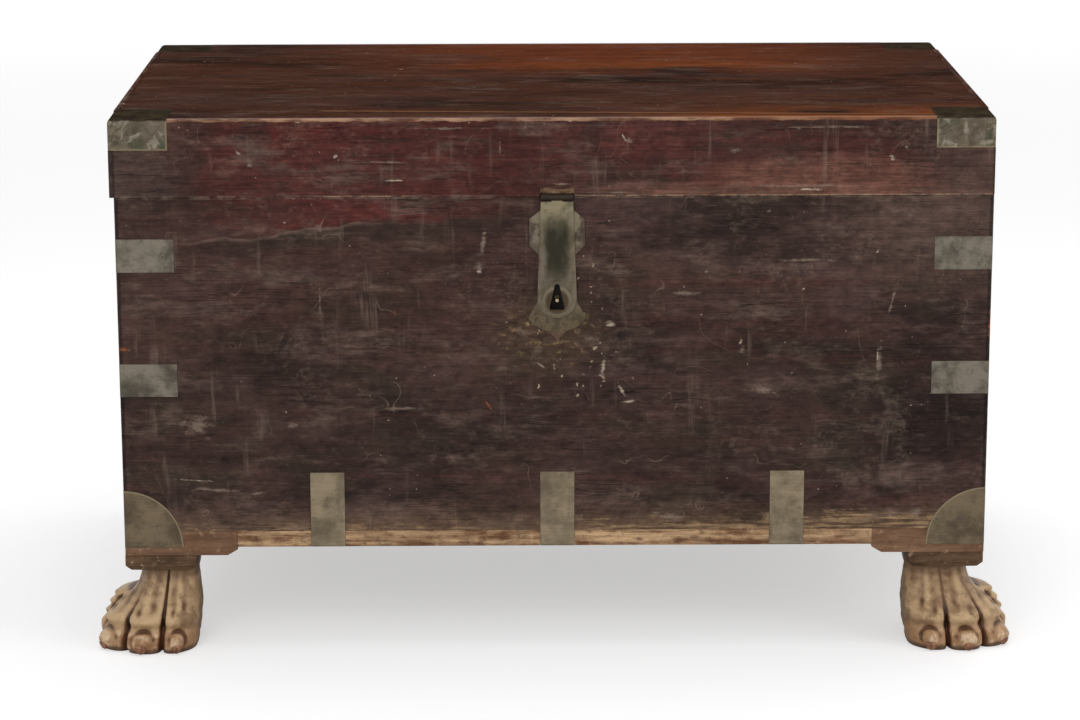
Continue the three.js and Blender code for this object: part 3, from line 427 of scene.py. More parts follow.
front_marks = (
    (-279, 433, 2.2, 46), (402, 430, 3.4, 50, 14), (388, 356, 6.5, 46, 4), (386, 362, 3, 26, 2, "white"),
    (-84, 505, 6, 34, 8), (-90, 474, 12, 10), (80, 322, 22, 4.5, 62, "white"),
    (88, 308, 18, 3.5, -8, "white"), (66, 405, 12, 4.5), (58, 352, 6, 24, 6, "white"),
    (66, 402, 12, 3.5, -4, "white"), (296, 445, 6, 2.6, -25, "white"), (-90, 468, 7, 5, 0, "white"),
    (222, 380, 4, 9, 25, "white"), (-432, 212, 40, 2.4, 3, "white"), (-15, 352, 16, 2.6, 35, "white"),
    (-80, 305, 18, 4, 55, "orange"), (-190, 419, 3, 9, 15, "orange"), (-315, 280, 16, 8),
    (-410, 200, 60, 5, 4), (-355, 196, 30, 4, -8), (-513, 374, 12, 5, 0, "orange"),
    (519, 400, 3.5, 42, 0, "orange"), (224, 371, 9, 14, 20), (180, 467, 5, 4), (-261, 558, 38, 3),
    (84, 557, 44, 2.6), (138, 165, 42, 12, 6), (435, 168, 30, 11), (-40, 395, 26, 12, 20),
    (-20, 372, 20, 10), (45, 385, 16, 8), (160, 440, 40, 7), (-180, 300, 46, 5), (300, 480, 60, 4),
    # The 'dark' marks on this line and the next are painted shadow beside the hasp and under the lock plate.
    (-430, 280, 36, 26), (250, 320, 40, 12, 10), (28, 452, 4, 42, 2, "dark"), (38, 405, 4, 16, 10, "dark"),
    (16, 381, 26, 4, 30, "dark"), (-18, 384, 22, 4, -30, "dark"), (-24, 452, 3, 36, -2, "dark"),
)


def seam_glow(paint, colour):
    """Red paint under the seam on the left, down to a wavy pale line with dark grime below it; dull wax at
    the right; and along the foot a grimed pale band, bared to the wood at its edge, with a painted shade line
    in the joint below it."""
    x, _, z = paint.axes()
    wander = paint.cloud((0.2, 0.2, 0.05), 3, 0.5)
    ripple = paint.cloud((0.09, 0.09, 0.3), 3, 0.5)
    ruddy = abs(x + 0.22).step(0.36, 0.12) * z.step(seam - 0.26, seam - 0.10)
    line = z - ripple * 0.045 - x * 0.086 - (seam - 0.040)
    glow = (line + ripple * 0.006).step(0, 0.010) * x.step(-0.02, -0.12) * x.step(-0.5, -0.4)
    rim = abs(line + 0.002).step(0.003, 0.001) * x.step(-0.16, -0.26) * x.step(-0.48, -0.38)
    under = line.step(-0.028, -0.012) * line.step(0, -0.003) * x.step(0.02, -0.1) * x.step(-0.46, -0.36)
    right = x.step(0.3, 0.44) * z.step(seam - 0.15, seam - 0.05)
    colour = paint.layers(
        colour,
        (ruddy * 0.4, tint(56, 31, 27)),
        (glow * wander.step(0.3, 0.58) * 0.8, tint(86, 37, 33)),
        (glow * ripple.step(0.6, 0.4) * 0.35, tint(58, 38, 32)),
        (rim * 0.7, tint(112, 90, 80)),
        (under * 0.6, tint(48, 38, 32)),
        (right * 0.6, tint(94, 74, 66)),
    )
    dim = abs(z - (body_foot + 0.15)).step(0.075, 0.03)
    foot = (z + wander * 0.05).step(body_foot + 0.085, body_foot + 0.035)
    ragged = paint.cloud((0.03, 0.03, 0.012), 5, 0.75)
    bare = z + (ragged - 0.5) * 0.07 - x.step(-0.1, 0.15) * 0.012 - x.step(0.24, 0.36) * 0.005
    bare = bare.step(body_foot + 0.028, body_foot + 0.012)
    grainy = paint.cloud((0.06, 0.05, 0.004), 4, 0.65, warp=0.2)
    # Painted shade: a dark line along the board's lowest edge, in the joint above the bottom board.
    joint_shade = (z + (ragged - 0.5) * 0.006).step(body_foot + 0.0125, body_foot + 0.0105)
    return paint.layers(
        paint.shade(colour, 1 - dim * 0.29),
        (foot * 0.66, tint(114, 91, 72)),
        (bare * 0.8, paint.mix(grainy.step(0.42, 0.6), tint(90, 69, 53), tint(154, 126, 94))),
        (joint_shade * 0.7, tint(52, 37, 28)),
    )


def lock_specks(paint, colour):
    """Olive dirt lies round the lock's foot; pale specks of bared wood gather there, a few round its ears."""
    near = lambda *mark: paint.stroke(*on_front(*mark)[1:])
    mottle = paint.cloud((0.012, 0.012, 0.008), 5, 0.7, warp=0.4)
    dirt = near(-8, 390, 85, 60).step(0, 0.6)
    specks = paint.dots(0.0095, 0.0017, 0.5) | paint.dots(0.016, 0.0026, 0.4)
    where = near(-30, 392, 45, 35) | near(45, 345, 60, 50) | near(-20, 330, 60, 30)
    where = where | near(30, 450, 50, 70) * 0.7
    return paint.layers(
        colour,
        (dirt * 0.5, tint(82, 66, 50)),
        (dirt * mottle.step(0.5, 0.4) * 0.6, tint(44, 32, 22)),
        (dirt * mottle.step(0.54, 0.66) * 0.8, tint(134, 109, 76)),
        (specks * where.step(0, 0.45) * 0.8, tint(178, 158, 136)),
    )


carcase_limits = (half_length, half_depth, body_foot, seam)
front_paint = painted("front_paint", "X", carcase_limits, front_marks, seam_glow, wear=lock_specks)
long_paint = painted("long_paint", "X", carcase_limits)
end_paint = painted("end_paint", "Y", carcase_limits)


def dress(names, material):
    """Gives CAD nodes their finish."""
    for name in names:
        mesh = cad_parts[name].data
        mesh.materials.clear()
        mesh.materials.append(material)


dress(["front_board"], front_paint)
dress(["back_board"], long_paint)
dress(["left_board", "right_board"], end_paint)


# Lid
# A dovetailed frame with two boards let into its rebate; the front board has a long split behind its
# arris. The same paint, redder where hands have rubbed it, and worn to the wood along the edges.

lid_overhang = 0.0025
lid_limits = (half_length + lid_overhang, half_depth + 0.0015, seam, lid_top)


def lid_front_glow(paint, colour):
    """Warm red-brown from handling, smoky, and darkest left of the lock. The foot is rubbed pale, most so at
    the right; both ends are duller, and the left one is darker at its foot, below the cap."""
    x, _, z = paint.axes()
    wander = paint.cloud((0.3, 0.3, 0.05), 4, 0.6)
    smoke = paint.cloud((0.07, 0.07, 0.1), 4, 0.6, warp=0.5)
    middle = abs(x + 0.22).step(0.3, 0.1)
    foot = (z + wander * 0.03).step(seam + 0.040, seam + 0.016) * x.step(-0.05, 0.2)
    blush = paint.stroke((0.33, front, seam + 0.026), (0.19, 0.05, 0.032)) + (wander - 0.5) * 0.8
    patchy = smoke.step(0.62, 0.44) * 0.25 + 0.4
    # The left end is darker at its foot, below the cap.
    left_foot_dark = x.step(-0.4, -0.46) * (z + wander * 0.02).step(seam + 0.07, seam + 0.05)
    return paint.layers(
        colour,
        (wander.step(0.3, 0.65) * 0.8, tint(76, 35, 31)),
        (middle * wander.step(0.62, 0.4) * 0.7, tint(84, 32, 28)),
        (smoke.step(0.5, 0.66) * 0.6, tint(50, 34, 29)),
        (smoke.step(0.44, 0.3) * 0.4, tint(104, 62, 54)),
        (foot * 0.75, tint(114, 78, 64)),
        (blush.step(0.05, 0.7) * patchy, tint(120, 82, 68)),
        (left_foot_dark * 0.55, tint(50, 41, 38)),
        (abs(x + 0.13).step(0.2, 0.08) * 0.4, tint(56, 28, 24)),
        (abs(x).step(0.4, 0.5) * 0.7, tint(76, 60, 54)),
    )


def lid_top_glow(paint, colour):
    """Dark brown at the front and left, worn through to orange-red over the middle of the back board,
    and along the front at the right."""
    x, y, _ = paint.axes()
    wander = paint.cloud((0.28, 0.09, 0.1), 5, 0.62, warp=0.4)
    rear = (y + (wander - 0.5) * 0.3).step(-0.03, 0.15) * x.step(-0.36, -0.02) * x.step(0.5, 0.2)
    band = abs(y - 0.11 + (wander - 0.5) * 0.2).step(0.05, 0.01) * x.step(-0.2, 0.1) * x.step(0.42, 0.2)
    near = y.step(-0.2, -0.29) * x.step(0.0, 0.3)
    return paint.layers(
        paint.shade(colour, 0.8),
        (wander.step(0.35, 0.6) * 0.75, tint(74, 45, 33)),
        (rear * wander.step(0.25, 0.5) * 0.9, tint(96, 50, 31)),
        (band * 0.7, tint(108, 58, 32)),
        (near * wander.step(0.36, 0.56) * 0.75, tint(106, 58, 33)),
    )


def top_wear(paint, colour):
    """The front arris is worn to pale wood. Behind it a split runs along the top, with a tan lip, and
    the paint between the two is worn to orange at the right."""
    x, y, z = paint.axes()
    ragged = paint.cloud((0.03, 0.006, 0.006), 5, 0.72) - 0.5
    line = y + x * 0.0527 + 0.2703 + ragged * 0.012
    ends = x.step(-0.285, -0.272) * x.step(0.456, 0.449) * z.step(lid_top - 0.0015, lid_top - 0.0005)
    worn_out = line.step(-0.002, -0.010) * ends * (x + ragged * 0.5).step(0, 0.36)
    pale = (y + ragged * 0.003).step(front - 0.0002, front - 0.0016)
    pale = pale * (z + ragged * 0.007).step(lid_top - 0.0040, lid_top - 0.0030)
    mottle = paint.cloud((0.05, 0.01, 0.01), 4, 0.6)
    wood = paint.mix(mottle.step(0.4, 0.6), tint(112, 76, 56), tint(172, 134, 106))
    wood = paint.mix(x.step(0.12, 0.36) * 0.7, wood, tint(120, 72, 42))
    return paint.layers(
        colour,
        (worn_out * 0.85, tint(128, 70, 32)),
        (abs(line + 0.007).step(0.006, 0.001) * ends * 0.6, tint(40, 24, 18)),
        (abs(line).step(0.005, 0.001) * ends * 0.7, tint(126, 88, 62)),
        (pale * (mottle.step(0.36, 0.5) * 0.45 + 0.5), wood),
    )


lid_front_marks = (
    (-64, 617, 2, 28), (87, 625, 10, 8), (212, 613, 14, 9), (-358, 597, 7, 6), (70, 563, 60, 2.4),
    (300, 570, 130, 4), (-200, 600, 60, 3), (-130, 640, 90, 3), (330, 640, 120, 2.4), (3, 573, 22, 3.4),
    (19, 649, 6, 4, 0, "white"), (-300, 648, 9, 3, 0, "white"), (-372, 612, 8, 4, 20, "white"),
    (82, 628, 12, 3, 60, "white"), (300, 566, 30, 3, 0, "white"), (398, 604, 6, 9, -30, "white"),
    (-190, 578, 22, 2.4, 0, "white"),
)


def notch_wear(paint, colour):
    """Bare worn wood in the notch over the hasp's hinge and in beads along the seam, under the wear
    that the lid's front shares with its top."""
    x, y, z = paint.axes()
    notch = abs(x - lock_x).step(0.0215, 0.0205) * z.step(seam + 0.0125, seam + 0.0115)
    notch = notch * y.step(front - 0.0021, front - 0.0019) * y.step(front + 0.012, front + 0.011)
    mottle = paint.cloud((0.012, 0.012, 0.004), 4, 0.65)
    beads = (z + (mottle - 0.5) * 0.004).step(seam + 0.0028, seam + 0.0014) * mottle.step(0.46, 0.56)
    beads = beads * (x.step(0.01, 0.06) | x.step(-0.16, -0.18) * x.step(-0.28, -0.26))
    beads = beads * y.step(front - 0.0005, front - 0.0010)
    wood = paint.mix(mottle.step(0.35, 0.65), tint(92, 66, 52), tint(164, 130, 104))
    return top_wear(paint, paint.layers(colour, (beads * 0.85, tint(166, 132, 104)), (notch, wood)))


lid_front_paint = painted(
    "lid_front_paint", "X", lid_limits, lid_front_marks, lid_front_glow, wear=notch_wear, streaky=0.5
)
lid_top_paint = painted("lid_top_paint", "X", lid_limits, (), lid_top_glow, 0, top_wear, 0.3, 0.35)
dress(["lid_front_rail"], lid_front_paint)
dress(["lid_top_front_board", "lid_top_rear_board"], lid_top_paint)
dress(["lid_back_rail"], painted("lid_back_paint", "X", lid_limits))
dress(["lid_left_end", "lid_right_end"], painted("lid_end_paint", "Y", lid_limits, (), lid_top_glow, 0))


# Bottom board and foot brackets
# The bottom board's edge shows as a strip of worn, nearly bare wood; the brackets under the corners
# are brown wood with grime in the grain.


def worn(name, pale, brown, grain="X", blotchy=0.6, tone=None):
    """Bare worn wood: pale and brown streaks along the grain, grime in patches and specks. tone adds
    what one piece has of its own."""
    wood = Finish(name)
    streak = wood.cloud(along(grain, 0.12, 0.008), 5, 0.65)
    patch = wood.cloud(along(grain, 0.035, 0.016), 6, 0.72)
    spot = wood.cloud(0.008, 4, 0.7)
    fibre = wood.cloud(along(grain, 0.03, 0.0014), 3, 0.6)
    colour = wood.layers(
        wood.mix((streak * 0.5 + patch * 0.5).step(0.4, 0.6), brown, pale),
        (patch.step(0.5, 0.66) * blotchy, tint(96, 70, 50)),
        (spot.step(0.58, 0.74) * 0.7, tint(60, 42, 30)),
        (spot.step(0.42, 0.3) * 0.5, tint(196, 164, 130)),
    )
    if tone:
        colour = tone(wood, colour)
    colour = wood.shade(colour, fibre.step(0.3, 0.6) * 0.24 + 0.86)
    relief = wood.bump(streak * 0.4 + fibre * 0.3 + patch * 0.5 - spot.step(0.58, 0.74) * 0.3, 0.0006)
    return wood.close(Base_Color=colour, Roughness=patch * 0.2 + 0.6, Specular_IOR_Level=0.2, Normal=relief)


def inner_tone(wood, colour):
    """Away from its worn edge the bottom board is brown and even, like the walls inside."""
    x, y, _ = wood.axes()
    inner = abs(x).step(half_length - 0.012, half_length - 0.020)
    inner = inner & abs(y).step(half_depth - 0.012, half_depth - 0.020)
    streak = wood.cloud((0.2, 0.008, 0.008), 5, 0.7)
    return wood.mix(inner, colour, wood.mix(streak.step(0.3, 0.75), bare_streak, bare_inside))


corner_names = ("front_left", "front_right", "rear_right", "rear_left")
strip_wood = worn("strip_wood", tint(208, 172, 132), tint(104, 70, 46), blotchy=0.85, tone=inner_tone)
bracket_wood = worn("bracket_wood", tint(134, 102, 78), tint(106, 76, 56), blotchy=0.5)
dress(["bottom_board"], strip_wood)
dress([f"foot_bracket_{name}" for name in corner_names], bracket_wood)


# Paw feet
# Four feet carved from pale wood, each a square block above an animal's paw with three long toes and a
# dewclaw on its outer side, limed so that brown stays in the cuts. The claws are stained red-brown.

block_side = 0.092
block_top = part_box("paw_front_right")[1].z
block_foot = block_top - 0.020
foot_x, foot_y = half_length - block_side / 2, half_depth - block_side / 2
neck_half = 0.038
toe_at = np.radians((-14, 21, 56))
toe_half = math.radians(17.5)
toe_reach = (0.078, 0.084, 0.094)
toe_slant = (-0.7, 0.9, 1.2)


def surface(name, points):
    """A mesh on a grid of points, rows by columns, whose last column is joined to the first."""
    rows, columns = points.shape[:2]
    row, column = np.arange(rows - 1)[:, None], np.arange(columns)[None, :]
    beside = (column + 1) % columns
    corners = ((row, column), (row, beside), (row + 1, beside), (row + 1, column))
    faces = np.stack([(r * columns + c).ravel() for r, c in corners], axis=1)
    mesh = bpy.data.meshes.new(name)
    mesh.from_pydata(points.reshape(-1, 3), [], faces)
    mesh.validate()
    return mesh


def add_piece(name, mesh, material, body, smooth=True):
    """Puts a finished mesh in the scene and lets it ride on its body. Points that coincide, as at the
    middle of a cap, are merged, and the faces are turned outwards."""
    work = bmesh.new()
    work.from_mesh(mesh)
    bmesh.ops.remove_doubles(work, verts=work.verts, dist=1e-6)
    bmesh.ops.recalc_face_normals(work, faces=work.faces)
    work.to_mesh(mesh)
    work.free()
    mesh.polygons.foreach_set("use_smooth", np.full(len(mesh.polygons), smooth))
    mesh.materials.append(material)
    piece = bpy.data.objects.new(name, mesh)
    bpy.context.scene.collection.objects.link(piece)
    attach(piece, body)
    return piece


def bell(distance, width):
    """A smooth hump, 1 in the middle and nearly 0 two widths away."""
    return np.exp(-((distance / width) ** 2))


def curve(stops, place):
    """A smooth line through (place, value) stops: linear between them, then rounded by averaging."""
    place = np.asarray(place)
    places, values = np.array(stops).T
    steps = np.linspace(-0.016, 0.016, 7)
    return np.mean([np.interp(place + step, places, values) for step in steps], axis=0)


def over_angle(stops, angle):
    """A smooth line through (degrees, value) stops round the paw."""
    degrees, values = np.array(stops).T
    steps = np.linspace(-5, 5, 9)
    return np.mean([np.interp(np.degrees(angle) + step, degrees, values) for step in steps], axis=0)


def paw_radius(angle, share, parted):
    """How far the paw reaches from its middle line, at an angle from straight ahead and a share of the
    way down. A rounded square leg swells out to the toes' reach, more the lower it is, with a dip
    over each knuckle, and on the outer side to a dewclaw's tufts; between the toes it is cut back,
    and each toe is rounded across. parted is how deep the cut between the first two toes is in its
    upper part."""
    half = (neck_half + 0.006 * share) * curve(
        [(0, 1), (0.1, 0.94), (0.3, 1), (0.55, 1.06), (0.8, 1.02), (0.93, 0.97), (1, 0.86)], share)
    power = 3.2
    leg = half / (np.abs(np.sin(angle)) ** power + np.abs(np.cos(angle)) ** power) ** (1 / power)
    reach = over_angle(
        [(-180, 0.03), (-90, 0.04), (-60, 0.05), (-38, 0.065), (-14, 0.0742), (3, 0.0756), (21, 0.0806),
         (38, 0.087), (56, 0.093), (74, 0.088), (90, 0.078), (104, 0.073), (118, 0.06), (135, 0.04),
         (180, 0.03)], angle)
    toe_out = curve(
        [(0, 0.02), (0.12, 0.06), (0.3, 0.27), (0.42, 0.46), (0.5, 0.64), (0.56, 0.8), (0.61, 0.84),
         (0.67, 0.76), (0.71, 0.78), (0.77, 0.95), (0.86, 1.0), (0.93, 0.97), (1, 0.84)], share)
    outer = over_angle([(-180, 0), (30, 0), (58, 1), (180, 1)], angle)
    toe_out = toe_out * (1 - outer * curve([(0, 1), (0.2, 0.9), (0.3, 0.55), (0.45, 0.15), (0.6, 0)], share))
    tuft_out = curve(
        [(0, 0), (0.31, 0.02), (0.335, 0.2), (0.36, 0.66), (0.39, 0.7), (0.43, 0.62), (0.48, 0.82),
         (0.53, 0.74), (0.59, 0.92), (0.64, 0.84), (0.72, 1), (0.86, 0.94), (1, 0.62)], share)
    aside = over_angle([(-180, 0), (64, 0), (80, 1), (180, 1)], angle)
    out = toe_out * (1 - aside) + tuft_out * aside
    radius = leg + np.maximum(reach - leg, 0) * out

    depth = curve([(0, 0), (0.25, 0.03), (0.45, 0.1), (0.6, 0.2), (0.75, 0.32), (1, 0.38)], share)
    for number, at in enumerate(toe_at):
        place = np.clip((angle - at) / toe_half, -1, 1)
        if number == 0:
            place = np.maximum(place, 0)
        fall = 1 - np.sqrt(1 - 0.97 * np.abs(place) ** 2.6)
        radius = radius - (radius - 0.8 * leg) * depth * np.where(np.abs(angle - at) < toe_half, fall, 0)
    cuts = (
        (toe_at[0] + toe_half, 0.0065, 2.2,
         [(0, 0.5 * parted), (0.1, 0.8 * parted), (0.45, 0.8 * parted), (0.62, 1), (1, 1)]),
        (toe_at[1] + toe_half, 0.0055, 2.2, [(0, 0), (0.3, 0.05), (0.5, 0.2), (0.66, 0.9), (1, 1)]),
        (toe_at[2] + toe_half, 0.006, 3.5, [(0, 0), (0.25, 0.2), (0.4, 0.7), (0.7, 1), (1, 1)]),
    )
    for at, deep, width, down in cuts:
        radius = radius - deep * curve(down, share) * bell(angle - at, math.radians(width))
    for at, slant in zip(toe_at, toe_slant):
        radius = radius + toe_carving((angle - at) / toe_half, share, slant)
    return radius


def toe_carving(place, share, slant):
    """The relief of one toe: a tendon that slants down it, a knuckle between a deep pit and a shallow
    one, and under an arched cut the ball that holds the claw. place runs from -1 to 1 across the toe."""
    leant = place + slant * (share - 0.6)
    tendon = bell(leant, 0.3) * curve([(0, 0.1), (0.1, 0.5), (0.3, 1), (0.42, 0.6), (0.55, 0), (1, 0)], share)
    pits = bell(leant - 0.4, 0.22) * bell(share - 0.52, 0.07)
    pits = pits + 0.6 * bell(leant + 0.45, 0.24) * bell(share - 0.44, 0.06)
    knuckle = bell(leant, 0.36) * bell(share - 0.6, 0.05)
    away = np.sqrt((place / 0.42) ** 2 + ((share - 0.845) / 0.085) ** 2)
    above = curve([(0, 1), (0.82, 1), (0.9, 0.3), (1, 0)], share)
    arch = bell(away - 1.4, 0.34) * above
    ball = bell(away, 0.85)
    return 0.0024 * tendon - 0.0024 * pits + 0.0026 * knuckle - 0.0034 * arch + 0.0036 * ball


def paw_points(angles, shares, parted):
    """The paw's surface: for each share of its height from the block to the floor, the outline at that
    height, moved so that the neck stands back from the toes; and each point's radius."""
    angle, share = np.meshgrid(angles, shares)
    radius = paw_radius(angle, share, parted)
    shift = (block_side / 2 - neck_half) * (1 - share)
    height = block_foot * (1 - share)
    return np.stack([radius * np.sin(angle) - shift, -radius * np.cos(angle) + shift, height], -1), radius


def smoothed(values, passes):
    """Each value averaged with its four neighbours on the grid, many times over."""
    for _ in range(passes):
        down = np.vstack([values[:1], values[:-1]])
        up = np.vstack([values[1:], values[-1:]])
        values = (2 * values + np.roll(values, 1, 1) + np.roll(values, -1, 1) + down + up) / 6
    return values


def at_foot(points, side_x, side_y):
    """Points of a front right foot carried to another corner, mirrored as the pair is carved. The left
    feet are cut narrower on their inner side and reach a little further out."""
    x = points[..., :1]
    if side_x < 0:
        x = x * np.where(x < 0, 0.86, 1.02)
    points = np.concatenate([x, points[..., 1:]], -1)
    return points * (side_x, -side_y, 1) + (side_x * foot_x, side_y * foot_y, 0)


def limed_finish():
    """Limed carving: cream on the crowns, tan on the slopes, deep brown in the cuts, reddish low down on the
    toes with near-white spots on their crowns, rubbed pale and also painted as highlights; brown at the neck,
    and painted shade at the sole, where the paw meets the floor. It reads how hollow the carving is."""
    lime = Finish("limed_carving")
    _, _, z = lime.axes()
    hollow = lime.add("ShaderNodeAttribute", {"attribute_name": "hollow"}, output="Fac")
    mottle = lime.cloud((0.012, 0.012, 0.02), 5, 0.68)
    fine = lime.cloud((0.002, 0.002, 0.012), 4, 0.6)
    stain = lime.cloud(0.03, 5, 0.65)
    depth = hollow + (mottle - 0.5) * 0.4
    low = (z + (mottle - 0.5) * 0.02).step(0.036, 0.020)
    sole = (z + (mottle - 0.5) * 0.01).step(0.010, 0.004)
    neck = (z - mottle * 0.012).step(block_foot - 0.022, block_foot - 0.008)
    colour = lime.layers(
        lime.mix(depth.step(0.76, 0.26), tint(122, 90, 60), tint(198, 166, 126)),
        (depth.step(0.58, 0.88), tint(84, 54, 31)),
        (depth.step(0.86, 1.02), tint(48, 28, 15)),
        (stain.step(0.5, 0.64) * 0.6, tint(104, 72, 45)),
        (low * depth.step(0.62, 0.4) * 0.6, tint(152, 104, 68)),
        # Painted highlight: near-white spots on the low crowns of the toes stand in for the wax's glints,
        # where they are also rubbed pale.
        (low * depth.step(0.3, 0.1) * mottle.step(0.42, 0.6) * 0.8, tint(224, 196, 162)),
        (low * depth.step(0.42, 0.7) * 0.6, tint(96, 58, 36)),
        # Painted shade where the paw meets the floor.
        (sole * 0.75, tint(74, 52, 34)),
        (neck * 0.7, tint(92, 66, 44)),
    )
    return lime.close(
        Base_Color=lime.shade(colour, fine.step(0.3, 0.62) * 0.14 + 0.9),
        Roughness=mottle * 0.3 + 0.24,
        Specular_IOR_Level=0.3,
        Normal=lime.bump(mottle * 0.7 + fine * 0.2, 0.0014),
    )


def claw_points(at, reach):
    """A claw: a broad low egg half sunk in the foot of the toe, under its ball. It lies at an angle
    round the paw, and its tip is at a reach from the paw's middle line."""
    wide, long, tall, rise = 0.0082, 0.006, 0.0064, 0.0072
    turns = np.linspace(0, 2 * np.pi, 25)[:-1]
    falls = np.linspace(0, np.pi, 17)
    spin, fall = np.meshgrid(turns, falls)
    lean = 0.85 + 0.15 * np.cos(fall)
    aside = wide * np.sin(fall) * np.cos(spin) * lean
    forward = long * np.sin(fall) * np.sin(spin) * lean
    out = reach - 0.0056 + forward + 0.001 * np.cos(fall)
    x = out * np.sin(at) + aside * np.cos(at)
    y = -out * np.cos(at) + aside * np.sin(at)
    return np.stack([x, y, rise + tall * np.cos(fall)], -1)


def block_points():
    """The block: a square with rounded corners, carried down a profile that is flat on top, plumb at
    the sides and chamfered at the foot."""
    half, chamfer, ease, sides = block_side / 2, 0.006, 0.0012, 64
    profile = [
        (0, block_top),
        (half - ease, block_top),
        (half, block_top - ease),
        (half, block_foot + chamfer + ease),
        (half - ease, block_foot + chamfer),
        (half - chamfer, block_foot + ease / 2),
        (half - chamfer - ease, block_foot),
        (0, block_foot),
    ]
    turns = np.linspace(0, 2 * np.pi, sides + 1)[:-1]
    corner = 1.395
    square = np.minimum(1 / np.maximum(np.abs(np.sin(turns)), np.abs(np.cos(turns))), corner)
    x, y = square * np.sin(turns), square * np.cos(turns)
    return np.array([np.stack([reach * x, reach * y, np.full(sides, z)], -1) for reach, z in profile])


def claw_finish():
    """Claws stained red-brown, mottled where they are rubbed paler."""
    horn = Finish("claw_stain")
    mottle = horn.cloud((0.005, 0.005, 0.008), 4, 0.6)
    colour = horn.mix(mottle.step(0.35, 0.65), tint(92, 54, 34), tint(164, 112, 78))
    return horn.close(Base_Color=colour, Roughness=mottle * 0.25 + 0.25, Normal=horn.bump(mottle, 0.0008))


limed_carving = limed_finish()
claw_stain = claw_finish()
block_wood = worn("block_wood", tint(108, 84, 62), tint(72, 52, 36))
angles = np.linspace(-np.pi, np.pi, 289)[:-1]
shares = np.concatenate([[-0.1], np.linspace(0, 0.985, 120), [0.995, 1]])


def carved_paw(parted):
    """The paw's points from the middle of its top, sunk in the block, to the middle of its sole, and how
    hollow each is. Smoothed random bumps stand for the uneven strokes of the gouge."""
    points, radius = paw_points(angles, np.clip(shares, 0, 1), parted)
    strokes = np.zeros_like(radius)
    for passes, height in ((14, 0.00012), (70, 0.0003)):
        uneven = smoothed(gouge.normal(size=radius.shape), passes)
        strokes += height * uneven / uneven.std()
    strokes *= curve([(0, 0), (0.1, 1), (0.9, 1), (1, 0)], np.clip(shares, 0, 1))[:, None]
    points[..., :2] *= (1 + strokes / radius)[..., None]
    radius = radius + strokes
    sunk, sole_edge = 0.008, 0.0006
    points[0, :, 2] = block_foot + sunk
    points[-2:, :, 2] = [[sole_edge], [0]]
    points[-1, :, :2] *= 0.985
    hollow = 0.5 + (smoothed(radius, 60) - radius) / 0.0046
    top_cap = np.broadcast_to(points[0].mean(0), (1, *points.shape[1:]))
    foot_cap = np.broadcast_to(points[-1].mean(0), (1, *points.shape[1:]))
    hollow = np.clip(np.concatenate([hollow[:1], hollow, hollow[-1:]]), 0, 1)
    return np.concatenate([top_cap, points, foot_cap]), hollow


gouge = np.random.default_rng(5)
paws = {-1: carved_paw(0.7), 1: carved_paw(0.2)}
for name in corner_names:
    side_x = 1 if "right" in name else -1
    side_y = 1 if "rear" in name else -1
    points, hollow = paws[side_x]
    mesh = surface(f"carved_paw_{name}", at_foot(points, side_x, side_y))
    layer = mesh.attributes.new("hollow", "FLOAT", "POINT")
    layer.data.foreach_set("value", hollow.ravel().astype(np.float32))
    paw = add_piece(f"carved_paw_{name}", mesh, limed_carving, "carcase")
    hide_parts(f"paw_{name}")
    block = surface(f"paw_block_{name}", at_foot(block_points(), side_x, side_y))
    add_piece(f"paw_block_{name}", block, block_wood, "carcase", smooth=False)
    for toe, (at, reach) in enumerate(zip(toe_at, toe_reach)):
        claw = surface(f"claw_{name}_{toe + 1}", at_foot(claw_points(at, reach), side_x, side_y))
        add_piece(f"claw_{name}_{toe + 1}", claw, claw_stain, "carcase")


# Brass mounts
# Flat brass let in flush at the corners, and short straps that wrap over the bottom edge. It has gone
# dull grey-olive, and nothing shows of the screws or nails that hold it.


def old_brass(name, dull, bright, dark, rough=0.5, metal=0.4, tone=None, gloss=0.5):
    """Dull brass: clouds of grey-olive and paler metal, dark spots, fine level brush lines and small
    dents. The colours are given as they are seen; tone adds what one piece has of its own."""
    brass = Finish(name)
    cloud = brass.cloud(0.03, 6, 0.66)
    spot = brass.cloud(0.009, 5, 0.7)
    brush = brass.cloud((0.02, 0.02, 0.0012), 3, 0.6)
    colour = brass.layers(
        brass.mix(cloud.step(0.38, 0.62), tint(*dull), tint(*bright)),
        (cloud.step(0.44, 0.3) * 0.4, tint(*dark)),
        (spot.step(0.56, 0.7) * 0.6, tint(*dark)),
    )
    if tone:
        colour = tone(brass, colour)
    dents = brass.dots(0.014, 0.0012, 0.25)
    relief = cloud * 0.5 + spot * 0.3 + brush * 0.05 - dents * 0.6
    return brass.close(
        Base_Color=brass.shade(colour, brush.step(0.3, 0.7) * 0.16 + 0.9),
        Metallic=spot.step(0.7, 0.5) * metal,
        Roughness=cloud * 0.2 + spot * 0.15 + rough - 0.15,
        Specular_IOR_Level=gloss,
        Normal=brass.bump(relief, 0.0005),
    )


